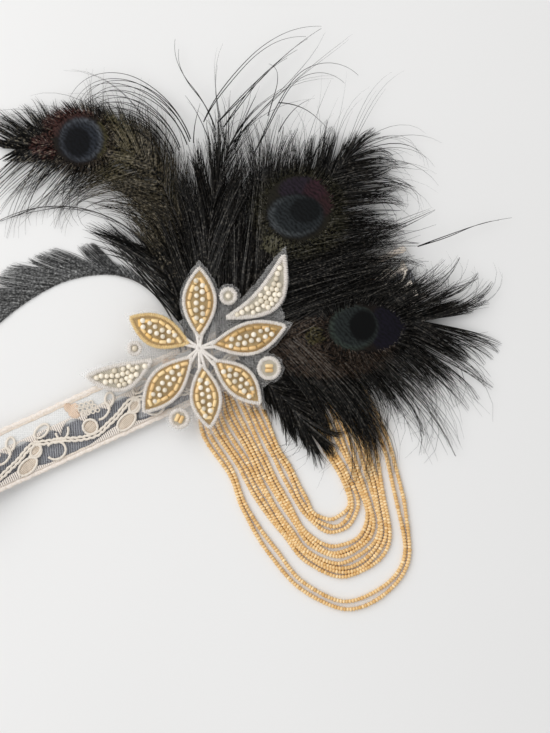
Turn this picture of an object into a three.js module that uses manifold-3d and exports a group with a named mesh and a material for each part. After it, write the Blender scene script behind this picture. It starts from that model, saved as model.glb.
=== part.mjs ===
// Flapper headband, laid on a table as one would put it down: a sheer lace ribbon loop lined with
// a narrower ribbed elastic, an embroidered flower on a cut-out net patch, three dyed peacock
// feathers, a spray of long herl, two curved side feathers, a short under-feather, and a fall of
// bead strings that leaves the band's lower edge and comes back to it.
// Millimetres, +Z up. The origin is on the table under the middle of the band below the flower.
// Seen from above, +X is to the viewer's right and +Y is up the view.
import * as THREE from "three";
import { mergeVertices } from "three/addons/utils/BufferGeometryUtils.js";
import Module from "manifold-3d";

const wasm = await Module();
wasm.setup();

// Band: the loop's two layers lie on each other, open only at the left fold.
const loopLength = 530;
const bandWidth = 27.4;
const bandBearing = 24.5;
const bandRight = 110;
const laceWall = 1;
const elasticWall = 1;
const elasticWidth = 15;
const elasticDrop = 4.5;
const foldHeight = 14;
const foldTaper = 60;
const seatGap = 0.3;

// Flower: a net patch with six petals, two leaves and four small rounds.
const flowerReach = 40;
const flowerX = -3.8;
const flowerY = 8.6;
const netWall = 1;
const netMargin = 1.6;
const discSides = 10;
const petalBase = 0.9;
const petalCrown = 1.3;
const cordWidth = 1.3;
const cordDip = 0.1;
const petalSteps = 8;
const tipInset = 1.8;
const leafReach = 40;

// Feathers.
const stemThick = 1.4;
const stemWidth = 1.6;
const stemTaper = 0.6;
const stemSteps = 12;
const lockSteps = 3;
const lockTaper = 0.85;
const lockDroop = 2.2;
const barbThick = 1.1;
const barbThinning = 0.2;
const peacockLength = 140;
const eyeRadius = 14;
const eyeRelief = 0.4;
const sprayLength = 100;
const sideLength = 118;
const shortLength = 48;

// Bead strings.
const beadSize = 1.9;
const stringCount = 12;
const stringFall = 118;
const routeSteps = 24;

const radians = THREE.MathUtils.degToRad;
const mix = THREE.MathUtils.lerp;
const bandStack = 2 * (laceWall + seatGap + elasticWall) + seatGap;
const stemBottom = bandStack + seatGap;
const netBottom = stemBottom + 2 * (stemThick + seatGap);
const petalBottom = netBottom + netWall + seatGap;
const bandLeft = loopLength / 2 - bandRight;
const along = [Math.cos(radians(bandBearing)), Math.sin(radians(bandBearing))];
const across = [-along[1], along[0]];

// A point given along and across the band, in the plan.
const onBand = (s, v) => [along[0] * s + across[0] * v, along[1] * s + across[1] * v];

// Rings of points, joined in order and capped at both ends, as one closed body.
function loft(rings) {
  const sides = rings[0].length;
  const corners = rings.flat(2);
  const faces = [];
  for (let i = 0; i + 1 < rings.length; i++)
    for (let j = 0; j < sides; j++) {
      const k = (j + 1) % sides;
      const [a, b, c, d] = [i * sides + j, i * sides + k, (i + 1) * sides + k, (i + 1) * sides + j];
      faces.push(a, b, c, a, c, d);
    }
  const last = (rings.length - 1) * sides;
  for (let j = 1; j + 1 < sides; j++) {
    faces.push(0, j + 1, j);
    faces.push(last, last + j, last + j + 1);
  }
  const geometry = new THREE.BufferGeometry();
  geometry.setAttribute("position", new THREE.Float32BufferAttribute(corners, 3));
  geometry.setIndex(faces);
  return geometry;
}

// A section across a plan run: flat top and bottom, with a chamfered edge on each side.
function flatSection(left, right, bottom, top, chamfer) {
  const run = Math.hypot(right[0] - left[0], right[1] - left[1]);
  const cut = Math.min(chamfer, run / 3) / run;
  const at = (share) => [mix(left[0], right[0], share), mix(left[1], right[1], share)];
  const middle = (bottom + top) / 2;
  return [
    [...left, middle],
    [...at(cut), top],
    [...at(1 - cut), top],
    [...right, middle],
    [...at(1 - cut), bottom],
    [...at(cut), bottom],
  ];
}

// A closed geometry as a manifold solid, turned outwards if its rings ran the other way.
function solid(geometry) {
  const bare = new THREE.BufferGeometry();
  bare.setAttribute("position", geometry.getAttribute("position"));
  if (geometry.index) bare.setIndex(geometry.index);
  const merged = mergeVertices(bare, 1e-4);
  const triVerts = new Uint32Array(merged.index.array);
  const vertProperties = merged.attributes.position.array;
  const made = new wasm.Manifold(new wasm.Mesh({ numProp: 3, vertProperties, triVerts }));
  if (made.volume() > 0) return made;
  for (let i = 0; i < triVerts.length; i += 3)
    [triVerts[i + 1], triVerts[i + 2]] = [triVerts[i + 2], triVerts[i + 1]];
  return new wasm.Manifold(new wasm.Mesh({ numProp: 3, vertProperties, triVerts }));
}

function geometryOf(manifold) {
  const { vertProperties, triVerts } = manifold.getMesh();
  const geometry = new THREE.BufferGeometry();
  geometry.setAttribute("position", new THREE.BufferAttribute(vertProperties, 3));
  geometry.setIndex(new THREE.BufferAttribute(triVerts, 1));
  return geometry;
}

const fused = (solids) => geometryOf(solids.reduce((whole, piece) => whole.add(piece)));

const finishes = {
  lace: { color: 0xe6dccb, roughness: 0.85, metalness: 0 },
  elastic: { color: 0x6d6d76, roughness: 0.8, metalness: 0 },
  net: { color: 0xd9d6d0, roughness: 0.9, metalness: 0 },
  goldBeads: { color: 0xd8b06a, roughness: 0.3, metalness: 0.6 },
  pearlBeads: { color: 0xece4d2, roughness: 0.35, metalness: 0.1 },
  string: { color: 0xe0ab5e, roughness: 0.3, metalness: 0.5 },
  feather: { color: 0x1a1917, roughness: 0.7, metalness: 0 },
};

const headband = new THREE.Group();
headband.name = "flapper_headband";

function place(name, geometry, finish) {
  const mesh = new THREE.Mesh(geometry, new THREE.MeshStandardMaterial(finishes[finish]));
  mesh.name = name;
  headband.add(mesh);
  return mesh;
}

// The loop's side profile, drawn this far inside the lace's outer face.
function loopPath(path, inset) {
  const low = inset;
  const flat = bandStack - inset;
  const high = foldHeight - inset;
  const rightFold = (bandStack - 2 * inset) / 2;
  const leftFold = (foldHeight - 2 * inset) / 2;
  const rightEnd = bandRight - bandStack / 2;
  const leftEnd = -bandLeft + foldHeight / 2;
  path.moveTo(leftEnd, low);
  path.lineTo(rightEnd, low);
  path.absarc(rightEnd, low + rightFold, rightFold, -Math.PI / 2, Math.PI / 2, false);
  path.lineTo(leftEnd + foldTaper, flat);
  path.bezierCurveTo(leftEnd + foldTaper * 0.6, flat, leftEnd + foldTaper * 0.4, high, leftEnd, high);
  path.absarc(leftEnd, low + leftFold, leftFold, Math.PI / 2, (3 * Math.PI) / 2, false);
  return path;
}

function loop(name, inset, wall, width, middle, finish) {
  const profile = loopPath(new THREE.Shape(), inset);
  profile.holes.push(loopPath(new THREE.Path(), inset + wall));
  const settings = { depth: width, bevelEnabled: false, curveSegments: 7 };
  const geometry = new THREE.ExtrudeGeometry(profile, settings);
  const mesh = place(name, geometry, finish);
  const [x, y] = onBand(0, middle + width / 2);
  mesh.position.set(x, y, 0);
  mesh.rotation.set(Math.PI / 2, 0, radians(bandBearing), "ZXY");
}

loop("band_lace", 0, laceWall, bandWidth, 0, "lace");
loop("band_elastic", laceWall + seatGap, elasticWall, elasticWidth, -elasticDrop, "elastic");

// Petals and leaves: a pointed outline with a raised cord round it and a crowned field of beads.
// from, to and half are shares of the named reach, and bow is the sideways swing of the middle line.
const petals = [
  { name: "petal_top", bearing: 90, from: 0.1, to: 0.98, half: 0.2, bow: 0 },
  { name: "petal_upper_left", bearing: 156, from: 0.12, to: 0.92, half: 0.19, bow: 0.02 },
  { name: "petal_lower_left", bearing: 229, from: 0.12, to: 1.03, half: 0.205, bow: -0.02 },
  { name: "petal_bottom", bearing: 277.5, from: 0.18, to: 0.98, half: 0.185, bow: 0 },
  { name: "petal_lower_right", bearing: 317.5, from: 0.2, to: 1, half: 0.18, bow: 0.03 },
  { name: "petal_right", bearing: 14.5, from: 0.12, to: 1.08, half: 0.195, bow: -0.04 },
];
const leaves = [
  { name: "leaf_upper_right", bearing: 47.5, x: 0.295, y: 0.355, reach: 1.06, half: 0.17, bow: -0.2 },
  { name: "leaf_left", bearing: 194, x: -0.55, y: -0.13, reach: 0.84, half: 0.16, bow: 0.12 },
];

// The outline's points at one inset from the cord's outer edge, going round from the inner tip.
function petalRing(inner, outer, half, bow, inset, height = 0) {
  const ring = [];
  const shrink = inset / half;
  for (let i = 0; i < 2 * petalSteps; i++) {
    const side = i < petalSteps ? -1 : 1;
    const share = i < petalSteps ? i / petalSteps : 2 - i / petalSteps;
    const run = mix(inner + inset * tipInset, outer - inset * tipInset, share);
    const width = half * (1 - shrink) * Math.sin(Math.PI * share ** 1.08) ** 0.9;
    const swing = bow * Math.sin(Math.PI * (run - inner) / (outer - inner));
    ring.push([run, side * Math.max(width, 0) + swing, height]);
  }
  return ring;
}

function petal(name, sizes, finish) {
  const cordTop = petalBase + cordWidth / 2;
  const levels = [
    [0, 0],
    [0, petalBase],
    [cordWidth * 0.35, cordTop],
    [cordWidth * 0.75, cordTop],
    [cordWidth, petalBase + cordDip],
    [cordWidth * 2, petalBase + petalCrown],
  ];
  return place(name, loft(levels.map(([inset, z]) => petalRing(...sizes, inset, z))), finish);
}

for (const { name, bearing, from, to, half, bow } of petals) {
  const sizes = [from, to, half, bow].map((share) => share * flowerReach);
  const mesh = petal(name, sizes, "goldBeads");
  mesh.position.set(flowerX, flowerY, petalBottom);
  mesh.rotation.z = radians(bearing);
}
for (const { name, bearing, x, y, reach, half, bow } of leaves) {
  const sizes = [0, reach, half, bow].map((share) => share * leafReach);
  const mesh = petal(name, sizes, "pearlBeads");
  mesh.position.set(flowerX + x * flowerReach, flowerY + y * flowerReach, petalBottom);
  mesh.rotation.z = radians(bearing);
}

// Small rounds: a cord ring with one or two beads in it. Places and radii are shares of flowerReach.
const rounds = [
  { name: "round_top", x: 0.345, y: 0.62, radius: 0.1075 },
  { name: "round_right", x: 0.83, y: -0.24, radius: 0.1425 },
  { name: "round_left", x: -0.77, y: -0.005, radius: 0.09 },
  { name: "round_bottom", x: -0.24, y: -0.84, radius: 0.125 },
];

for (const { name, x, y, radius: share } of rounds) {
  const radius = share * flowerReach;
  const profile = [
    [0, 0],
    [radius, 0],
    [radius, petalBase],
    [radius - cordWidth / 2, petalBase + cordWidth / 2],
    [radius - cordWidth, petalBase + cordDip],
    [radius * 0.4, petalBase + petalCrown],
    [0, petalBase + petalCrown],
  ].map(([r, z]) => new THREE.Vector2(r, z));
  const mesh = place(name, new THREE.LatheGeometry(profile, 12), "pearlBeads");
  mesh.position.set(flowerX + x * flowerReach, flowerY + y * flowerReach, petalBottom);
  mesh.rotation.x = Math.PI / 2;
}

// The net, cut close round every motif: an enlarged outline under each, a disc under the middle
// and small discs that close the gaps on the right.
const netDiscs = [
  { x: 0, y: 0, radius: 0.42 },
  { x: 0.64, y: -0.24, radius: 0.27 },
  { x: 0.78, y: 0.38, radius: 0.24 },
  { x: 0.3, y: 0.42, radius: 0.26 },
  { x: -0.5, y: -0.02, radius: 0.2 },
  { x: -0.14, y: -0.62, radius: 0.2 },
];

function netPatch() {
  const sheet = (points, x, y, turn) => {
    const shape = new THREE.Shape(points.map(([px, py]) => new THREE.Vector2(px, py)));
    const geometry = new THREE.ExtrudeGeometry(shape, { depth: netWall, bevelEnabled: false });
    geometry.rotateZ(radians(turn));
    geometry.translate(flowerX + x * flowerReach, flowerY + y * flowerReach, netBottom);
    return solid(geometry);
  };
  const disc = (radius) =>
    Array.from({ length: discSides }, (_, i) => {
      const turn = (2 * Math.PI * i) / discSides;
      return [Math.cos(turn) * radius, Math.sin(turn) * radius];
    });
  const petalSheets = petals.map(({ bearing, from, to, half, bow }) => {
    const sizes = [from, to, half, bow].map((share) => share * flowerReach);
    return sheet(petalRing(...sizes, -netMargin), 0, 0, bearing);
  });
  const leafSheets = leaves.map(({ bearing, x, y, reach, half, bow }) => {
    const sizes = [0, reach, half, bow].map((share) => share * leafReach);
    return sheet(petalRing(...sizes, -netMargin), x, y, bearing);
  });
  const roundSheets = rounds.map(({ x, y, radius }) => {
    return sheet(disc(radius * flowerReach + netMargin), x, y, 0);
  });
  const discSheets = netDiscs.map(({ x, y, radius }) => sheet(disc(radius * flowerReach), x, y, 0));
  place("applique_net", fused([...discSheets, ...petalSheets, ...leafSheets, ...roundSheets]), "net");
}

netPatch();

// A value read off a short row given at even shares from 0 to 1.
function readAt(row, share) {
  const spot = THREE.MathUtils.clamp(share, 0, 1) * (row.length - 1);
  const i = Math.min(Math.floor(spot), row.length - 2);
  return mix(row[i], row[i + 1], spot - i);
}

// A stem's plan line, walked from its root along its headings in degrees.
function stemLine({ root, headings, length }) {
  const line = [];
  let [x, y] = root.map((share) => share * flowerReach);
  for (let i = 0; i <= stemSteps; i++) {
    const share = i / stemSteps;
    line.push({ share, x, y, heading: readAt(headings, share) });
    const ahead = radians(readAt(headings, (i + 0.5) / stemSteps));
    x += (Math.cos(ahead) * length) / stemSteps;
    y += (Math.sin(ahead) * length) / stemSteps;
  }
  return line;
}

function stemAt(line, share) {
  const value = (key) => readAt(line.map((point) => point[key]), share);
  return { x: value("x"), y: value("y"), heading: value("heading") };
}

// The stem with the close vane on its left and right, as one flat tapering body.
function backing(feather, line) {
  const { from, to, left, right } = feather.vane;
  const bulge = (share) => {
    const part = (share - from) / (to - from);
    return part > 0 && part < 1 ? Math.sin(Math.PI * part) ** 0.7 : 0;
  };
  const rings = line.map(({ share, x, y, heading }) => {
    const stem = (stemWidth / 2) * (1 - stemTaper * share);
    const turn = radians(heading);
    const bottom = readAt(feather.heights, share);
    const corner = (out) => [x - Math.sin(turn) * out, y + Math.cos(turn) * out];
    const near = corner(stem + left * feather.length * bulge(share));
    const far = corner(-stem - right * feather.length * bulge(share));
    return flatSection(near, far, bottom, bottom + stemThick, 0.6);
  });
  return solid(loft(rings));
}

// One lock of barbs: it leaves the stem at an angle, bends as it goes and tapers to its tip.
function lock(feather, line, { side, at, angle, bend, length, width, tip }) {
  const start = stemAt(line, at);
  const bottom = readAt(feather.heights, at) + (stemThick - barbThick) / 2;
  let { x, y } = start;
  const rings = [];
  for (let i = 0; i <= lockSteps; i++) {
    const share = i / lockSteps;
    const heading = radians(start.heading + side * (angle + bend * share));
    const half = (width / 2) * (1 - lockTaper * share ** 1.5);
    const z = mix(bottom, Math.min(tip, bottom), share ** lockDroop);
    const thick = barbThick * (1 - barbThinning * share);
    const [ox, oy] = [-Math.sin(heading) * half, Math.cos(heading) * half];
    rings.push([
      [x + ox, y + oy, z],
      [x + ox, y + oy, z + thick],
      [x - ox, y - oy, z + thick],
      [x - ox, y - oy, z],
    ]);
    x += (Math.cos(heading) * length) / lockSteps;
    y += (Math.sin(heading) * length) / lockSteps;
  }
  return solid(loft(rings));
}

// A row of locks along one side of a stem, each value running evenly from its first to its last.
function lockRow(feather, line, row) {
  return Array.from({ length: row.count }, (_, i) => {
    const value = (key) => readAt(row[key], row.count > 1 ? i / (row.count - 1) : 0);
    return lock(feather, line, {
      side: row.side,
      at: value("at"),
      angle: value("angle"),
      bend: value("bend"),
      length: value("reach") * feather.length,
      width: row.width * feather.length,
      tip: value("tip"),
    });
  });
}

function eye(feather, line) {
  const { x, y } = stemAt(line, feather.eyeAt);
  const height = eyeRelief + seatGap;
  const disc = new THREE.CylinderGeometry(eyeRadius * 0.8, eyeRadius, height, 16);
  disc.rotateX(Math.PI / 2);
  disc.translate(x, y, readAt(feather.heights, feather.eyeAt) + stemThick - seatGap + height / 2);
  return solid(disc);
}

// Feathers lie in two layers where they cross under the flower, and settle lower as they leave it.
// Headings and angles are in degrees, heights and tips are undersides, and roots are shares of
// flowerReach. At, reach and width are shares of the feather's length, as the vane's widths are.
// A lock's side is 1 to the left of its stem's run and -1 to the right.
const upper = stemBottom + stemThick + seatGap;
const crest = upper + stemThick + eyeRelief + seatGap;
const overStrings = beadSize + seatGap;
const feathers = [
  {
    name: "peacock_feather_left",
    root: [-0.18, 0.1675],
    headings: [92, 96, 115, 176, 192],
    heights: [stemBottom, stemBottom, stemBottom, 3.6, 2.4],
    length: peacockLength * 1.15,
    eyeAt: 0.84,
    vane: { from: 0.3, to: 1.08, left: 0.081, right: 0.1 },
    locks: [
      { side: -1, count: 7, at: [0.34, 0.94], angle: [20, 50], bend: [-125, -60],
        reach: [0.72, 0.2], width: 0.045, tip: [1, 0] },
      { side: -1, count: 3, at: [0.22, 0.4], angle: [12, 16], bend: [-16, -50],
        reach: [0.4, 0.5], width: 0.04, tip: [5, 2] },
      { side: 1, count: 7, at: [0.26, 0.96], angle: [24, 40], bend: [50, -14],
        reach: [0.44, 0.34, 0.22], width: 0.04, tip: [4, 0] },
    ],
  },
  {
    name: "peacock_feather_top",
    root: [0.075, 0.2],
    headings: [62, 58, 55, 52, 48],
    heights: [upper, upper, upper, 6, 5.2],
    length: peacockLength * 0.79,
    eyeAt: 0.76,
    vane: { from: 0.2, to: 1.06, left: 0.145, right: 0.18 },
    locks: [
      { side: 1, count: 7, at: [0.34, 0.99], angle: [36, 30], bend: [-4, 16],
        reach: [0.66, 0.3], width: 0.06, tip: [6, 1] },
      { side: -1, count: 2, at: [0.1, 0.26], angle: [28, 34], bend: [0, -2],
        reach: [0.98, 0.8], width: 0.09, tip: [upper, upper] },
      { side: -1, count: 8, at: [0.32, 0.99], angle: [34, 34], bend: [-2, 16],
        reach: [0.74, 0.34], width: 0.06, tip: [upper, upper, 1] },
      { side: 1, count: 1, at: [0.98, 0.98], angle: [0, 0], bend: [0, 0],
        reach: [0.32, 0.32], width: 0.1, tip: [1, 1] },
    ],
  },
  {
    name: "peacock_feather_right",
    root: [0.275, 0.175],
    headings: [16, 13, 9, 5, 2],
    heights: [stemBottom, stemBottom, stemBottom, stemBottom, stemBottom],
    length: peacockLength * 0.66,
    eyeAt: 0.73,
    vane: { from: 0.24, to: 1.06, left: 0.184, right: 0.206 },
    locks: [
      { side: 1, count: 2, at: [0.1, 0.36], angle: [24, 28], bend: [4, 0],
        reach: [0.96, 0.78], width: 0.1, tip: [stemBottom, stemBottom] },
      { side: 1, count: 8, at: [0.4, 0.99], angle: [30, 18], bend: [-6, 16],
        reach: [0.7, 0.46], width: 0.07, tip: [stemBottom, stemBottom, 2] },
      { side: -1, count: 9, at: [0.28, 0.99], angle: [48, 30], bend: [36, 12],
        reach: [0.85, 0.8, 0.5], width: 0.075, tip: [overStrings, overStrings, 0] },
    ],
  },
  {
    name: "herl_spray",
    root: [-0.0375, 0.2],
    headings: [92, 88, 84, 78, 72],
    heights: [upper, upper, upper, crest, crest],
    length: sprayLength,
    vane: { from: 0.1, to: 1.04, left: 0.09, right: 0.1 },
    locks: [
      { side: 1, count: 5, at: [0.4, 0.96], angle: [14, 10], bend: [4, 20],
        reach: [0.45, 0.3], width: 0.04, tip: [upper, upper] },
      { side: 1, count: 1, at: [0.96, 0.96], angle: [40, 40], bend: [-24, -24],
        reach: [0.5, 0.5], width: 0.03, tip: [4, 4] },
      { side: -1, count: 5, at: [0.5, 0.98], angle: [8, 14], bend: [12, 20],
        reach: [0.5, 0.32], width: 0.04, tip: [crest, crest] },
      { side: -1, count: 1, at: [0.98, 0.98], angle: [20, 20], bend: [18, 18],
        reach: [0.74, 0.74], width: 0.03, tip: [6, 6] },
      { side: -1, count: 1, at: [0.9, 0.9], angle: [4, 4], bend: [90, 90],
        reach: [0.8, 0.8], width: 0.03, tip: [crest, crest] },
    ],
  },
  {
    name: "side_feather_upper",
    root: [-0.265, 0.1925],
    headings: [90, 115, 149, 183, 217],
    heights: [stemBottom, stemBottom, 2.6, 1, 0],
    length: sideLength * 1.21,
    vane: { from: 0.2, to: 0.62, left: 0.021, right: 0.007 },
    locks: [
      { side: 1, count: 4, at: [0.1, 0.34], angle: [30, 20], bend: [0, 0],
        reach: [0.3, 0.3], width: 0.03, tip: [2, 1] },
    ],
  },
  {
    name: "side_feather_lower",
    root: [-0.325, 0.165],
    headings: [96, 131, 180, 209, 224],
    heights: [stemBottom, 2.4, 0, 0, 0],
    length: sideLength * 0.99,
    vane: { from: 0.4, to: 1.04, left: 0.009, right: 0.094 },
    locks: [
      { side: -1, count: 8, at: [0.42, 0.97], angle: [24, 34], bend: [-8, -14],
        reach: [0.2, 0.2], width: 0.045, tip: [0, 0] },
    ],
  },
  {
    name: "short_under_feather",
    root: [0.335, 0.0725],
    headings: [-30, -38, -45, -50, -55],
    heights: [stemBottom, stemBottom, stemBottom, 4, 3],
    length: shortLength,
    vane: { from: 0.14, to: 1.05, left: 0.125, right: 0.167 },
    locks: [
      { side: 1, count: 3, at: [0.5, 0.96], angle: [24, 8], bend: [0, 6],
        reach: [0.5, 0.42], width: 0.12, tip: [overStrings, overStrings] },
      { side: -1, count: 4, at: [0.5, 0.96], angle: [30, 8], bend: [10, 8],
        reach: [0.5, 0.46], width: 0.12, tip: [overStrings, overStrings] },
    ],
  },
];

for (const feather of feathers) {
  const line = stemLine(feather);
  const bodies = [backing(feather, line)];
  if (feather.eyeAt) bodies.push(eye(feather, line));
  for (const row of feather.locks) bodies.push(...lockRow(feather, line, row));
  place(feather.name, fused(bodies), "feather");
}

// Bead strings: where the innermost and outermost lie between their ends on the band's lower edge,
// and the ends' distances along the band, all as shares of stringFall.
const stringEnds = { start: [0.119, -0.097], finish: [0.304, 0.528] };
const stringRoutes = [
  { inner: [0.203, -0.14], outer: [-0.02, -0.285] },
  { inner: [0.276, -0.314], outer: [0.093, -0.456] },
  { inner: [0.342, -0.423], outer: [0.142, -0.594] },
  { inner: [0.398, -0.537], outer: [0.248, -0.757] },
  { inner: [0.441, -0.602], outer: [0.375, -0.903] },
  { inner: [0.504, -0.629], outer: [0.549, -0.997] },
  { inner: [0.563, -0.597], outer: [0.72, -0.936] },
  { inner: [0.573, -0.525], outer: [0.822, -0.789] },
  { inner: [0.52, -0.415], outer: [0.802, -0.594] },
  { inner: [0.456, -0.314], outer: [0.764, -0.415] },
  { inner: [0.391, -0.178], outer: [0.703, -0.219] },
];
// Where each string lies between those two at the bottom of the fall. Elsewhere they fan evenly.
const bottomShares = [0, 0.07, 0.14, 0.31, 0.36, 0.4, 0.49, 0.535, 0.58, 0.63, 0.91, 1];

function stringCurve(index) {
  const even = index / (stringCount - 1);
  const edge = -bandWidth / 2 - seatGap;
  const middle = (stringRoutes.length - 1) / 2;
  const points = stringRoutes.map(({ inner, outer }, i) => {
    const low = Math.cos(((i - middle) / stringRoutes.length) * Math.PI) ** 1.5;
    const share = mix(even, bottomShares[index], low);
    const place = [mix(inner[0], outer[0], share) * stringFall, mix(inner[1], outer[1], share) * stringFall];
    return new THREE.Vector3(...place, 0);
  });
  const end = ([inner, outer]) =>
    new THREE.Vector3(...onBand(mix(inner, outer, even) * stringFall, edge), 0);
  const route = [end(stringEnds.start), ...points, end(stringEnds.finish)];
  return new THREE.CatmullRomCurve3(route, false, "catmullrom", 0.5);
}

// A flat body round the strings first to last, lying on the table.
function stringBundle(name, first, last) {
  const [near, far] = [stringCurve(first), stringCurve(last)];
  const rings = [];
  for (let i = 0; i <= routeSteps; i++) {
    const share = i / routeSteps;
    const [a, b] = [near.getPoint(share), far.getPoint(share)];
    const run = near.getTangent(share).add(far.getTangent(share)).normalize();
    const out = new THREE.Vector3(run.y, -run.x, 0).multiplyScalar(beadSize / 2);
    a.sub(out);
    b.add(out);
    rings.push(flatSection([a.x, a.y], [b.x, b.y], 0, beadSize, beadSize * 0.3));
  }
  place(name, geometryOf(solid(loft(rings))), "string");
}

stringBundle("bead_strings_inner", 0, 2);
stringBundle("bead_strings_middle", 3, 5);
stringBundle("bead_strings_main", 6, 9);
stringBundle("bead_string_long_a", 10, 10);
stringBundle("bead_string_long_b", 11, 11);

export default headband;
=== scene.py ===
"""Flapper feather headband: lace band, beaded flower, dyed-black feathers and looped bead strings."""

import logging
import math
from dataclasses import dataclass, field
from enum import Enum
from typing import Callable

import bmesh
import bpy
import numpy as np
from bpy.types import Material, Mesh, Node, NodeSocket, NodeTree, Object
from mathutils import Matrix


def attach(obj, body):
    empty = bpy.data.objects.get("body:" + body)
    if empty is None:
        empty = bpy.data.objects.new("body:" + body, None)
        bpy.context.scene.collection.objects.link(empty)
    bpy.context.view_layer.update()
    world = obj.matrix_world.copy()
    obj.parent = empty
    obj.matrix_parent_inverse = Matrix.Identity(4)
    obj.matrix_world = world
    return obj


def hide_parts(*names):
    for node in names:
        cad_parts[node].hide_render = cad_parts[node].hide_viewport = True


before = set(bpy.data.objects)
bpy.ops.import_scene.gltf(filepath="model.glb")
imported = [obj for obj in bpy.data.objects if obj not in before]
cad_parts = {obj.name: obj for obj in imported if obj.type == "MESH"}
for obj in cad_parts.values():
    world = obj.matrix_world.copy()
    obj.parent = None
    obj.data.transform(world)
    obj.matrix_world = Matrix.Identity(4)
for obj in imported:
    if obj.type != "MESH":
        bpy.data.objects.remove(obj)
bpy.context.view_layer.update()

log = logging.getLogger("headband")

MM = 0.001
FLOWER = (-3.8, 8.6)
FLOWER_REACH = 40.0
SEAT_GAP = 0.3
BAND_STACK = 4.9
STEM_BOTTOM = BAND_STACK + SEAT_GAP
STEM_THICK = 1.4
UPPER = STEM_BOTTOM + STEM_THICK + SEAT_GAP
CREST = UPPER + STEM_THICK + 0.4 + SEAT_GAP
NET_BOTTOM = STEM_BOTTOM + 2 * (STEM_THICK + SEAT_GAP)
PETAL_BOTTOM = NET_BOTTOM + 1.3
BEAD_SIZE = 1.9
BAND_BEARING = 24.5
EYE_RISE = 2.1


class Slot(Enum):
    """The record's material slots."""

    LACE = "lace"
    ELASTIC = "elastic"
    NET = "net"
    GOLD = "gold_beads"
    PEARL = "pearl_beads"
    STRING = "string"
    FEATHER = "feather"


# Colour and nodes


def linear(hex_colour: str) -> tuple[float, float, float, float]:
    """Turn an sRGB hex colour to linear RGBA.

    Args:
        hex_colour: Six hex digits, with or without a leading hash.

    Returns:
        Linear red, green, blue and an alpha of 1.
    """
    digits = hex_colour.lstrip("#")
    parts = [int(digits[i : i + 2], 16) / 255 for i in (0, 2, 4)]
    red, green, blue = (c / 12.92 if c <= 0.04045 else ((c + 0.055) / 1.055) ** 2.4 for c in parts)
    return (red, green, blue, 1.0)


def add_node(tree: NodeTree, kind: str, settings: dict | None = None, inputs: dict | None = None) -> Node:
    """Add a node with its settings, values and links.

    Args:
        tree: The node tree to add to.
        kind: The node's type name.
        settings: Attributes to set on the node.
        inputs: Input name or index to a value or to the socket that feeds it.

    Returns:
        The new node.
    """
    node = tree.nodes.new(kind)
    for key, value in (settings or {}).items():
        setattr(node, key, value)
    for key, value in (inputs or {}).items():
        if isinstance(value, NodeSocket):
            tree.links.new(value, node.inputs[key])
        else:
            node.inputs[key].default_value = value
    return node


def ramp(tree: NodeTree, factor: NodeSocket, stops: list[tuple[float, str]], ease: str = "LINEAR") -> Node:
    """Add a colour ramp.

    Args:
        tree: The node tree to add to.
        factor: The socket that drives the ramp.
        stops: Positions and sRGB hex colours, in order.
        ease: The ramp's interpolation.

    Returns:
        The ramp node.
    """
    node = add_node(tree, "ShaderNodeValToRGB", inputs={"Fac": factor})
    node.color_ramp.interpolation = ease
    elements = node.color_ramp.elements
    while len(elements) < len(stops):
        elements.new(1.0)
    for element, (place, colour) in zip(elements, stops):
        element.position = place
        element.color = linear(colour)
    return node


def new_material(name: str) -> tuple[Material, NodeTree, Node]:
    """Start a material with a bare Principled shader.

    Args:
        name: The material's name.

    Returns:
        The material, its node tree and its Principled node.
    """
    material = bpy.data.materials.new(name)
    material.use_nodes = True
    tree = material.node_tree
    tree.nodes.clear()
    shader = add_node(tree, "ShaderNodeBsdfPrincipled")
    add_node(tree, "ShaderNodeOutputMaterial", inputs={"Surface": shader.outputs[0]})
    return material, tree, shader


def attribute(tree: NodeTree, name: str) -> NodeSocket:
    """Read a float attribute of the mesh."""
    return add_node(tree, "ShaderNodeAttribute", {"attribute_name": name}).outputs["Fac"]


def noise_node(tree: NodeTree, place: NodeSocket, scale: float, detail: float) -> Node:
    """Add a noise texture.

    Args:
        tree: the material's nodes.
        place: where the noise is read.
        scale: how fine it is, in turns to a metre.
        detail: how many finer layers it has.

    Returns:
        The noise node.
    """
    return add_node(tree, "ShaderNodeTexNoise", inputs={"Vector": place, "Scale": scale, "Detail": detail})


def math_node(tree: NodeTree, operation: str, *values: object) -> NodeSocket:
    """Add a Math node fed by values or sockets, in order, and return its output."""
    return add_node(tree, "ShaderNodeMath", {"operation": operation}, dict(enumerate(values))).outputs[0]


# Meshes from arrays


def finish_piece(
    mesh: Mesh, name: str, material: Material, nodes: tuple[str, ...] = ()
) -> Object:
    """Put a mesh in the scene as a piece of the headband.

    Args:
        mesh: The finished mesh, in metres in the shared frame.
        name: The piece's name.
        material: Its material.
        nodes: The CAD nodes that it stands for.

    Returns:
        The piece's object.
    """
    piece = bpy.data.objects.new(name, mesh)
    bpy.context.scene.collection.objects.link(piece)
    mesh.materials.clear()
    mesh.materials.append(material)
    mesh.polygons.foreach_set("use_smooth", np.ones(len(mesh.polygons), dtype=bool))
    mesh.update()
    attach(piece, "root")
    if nodes:
        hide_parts(*nodes)
    log.info("%s: %d faces", name, len(mesh.polygons))
    return piece


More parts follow.
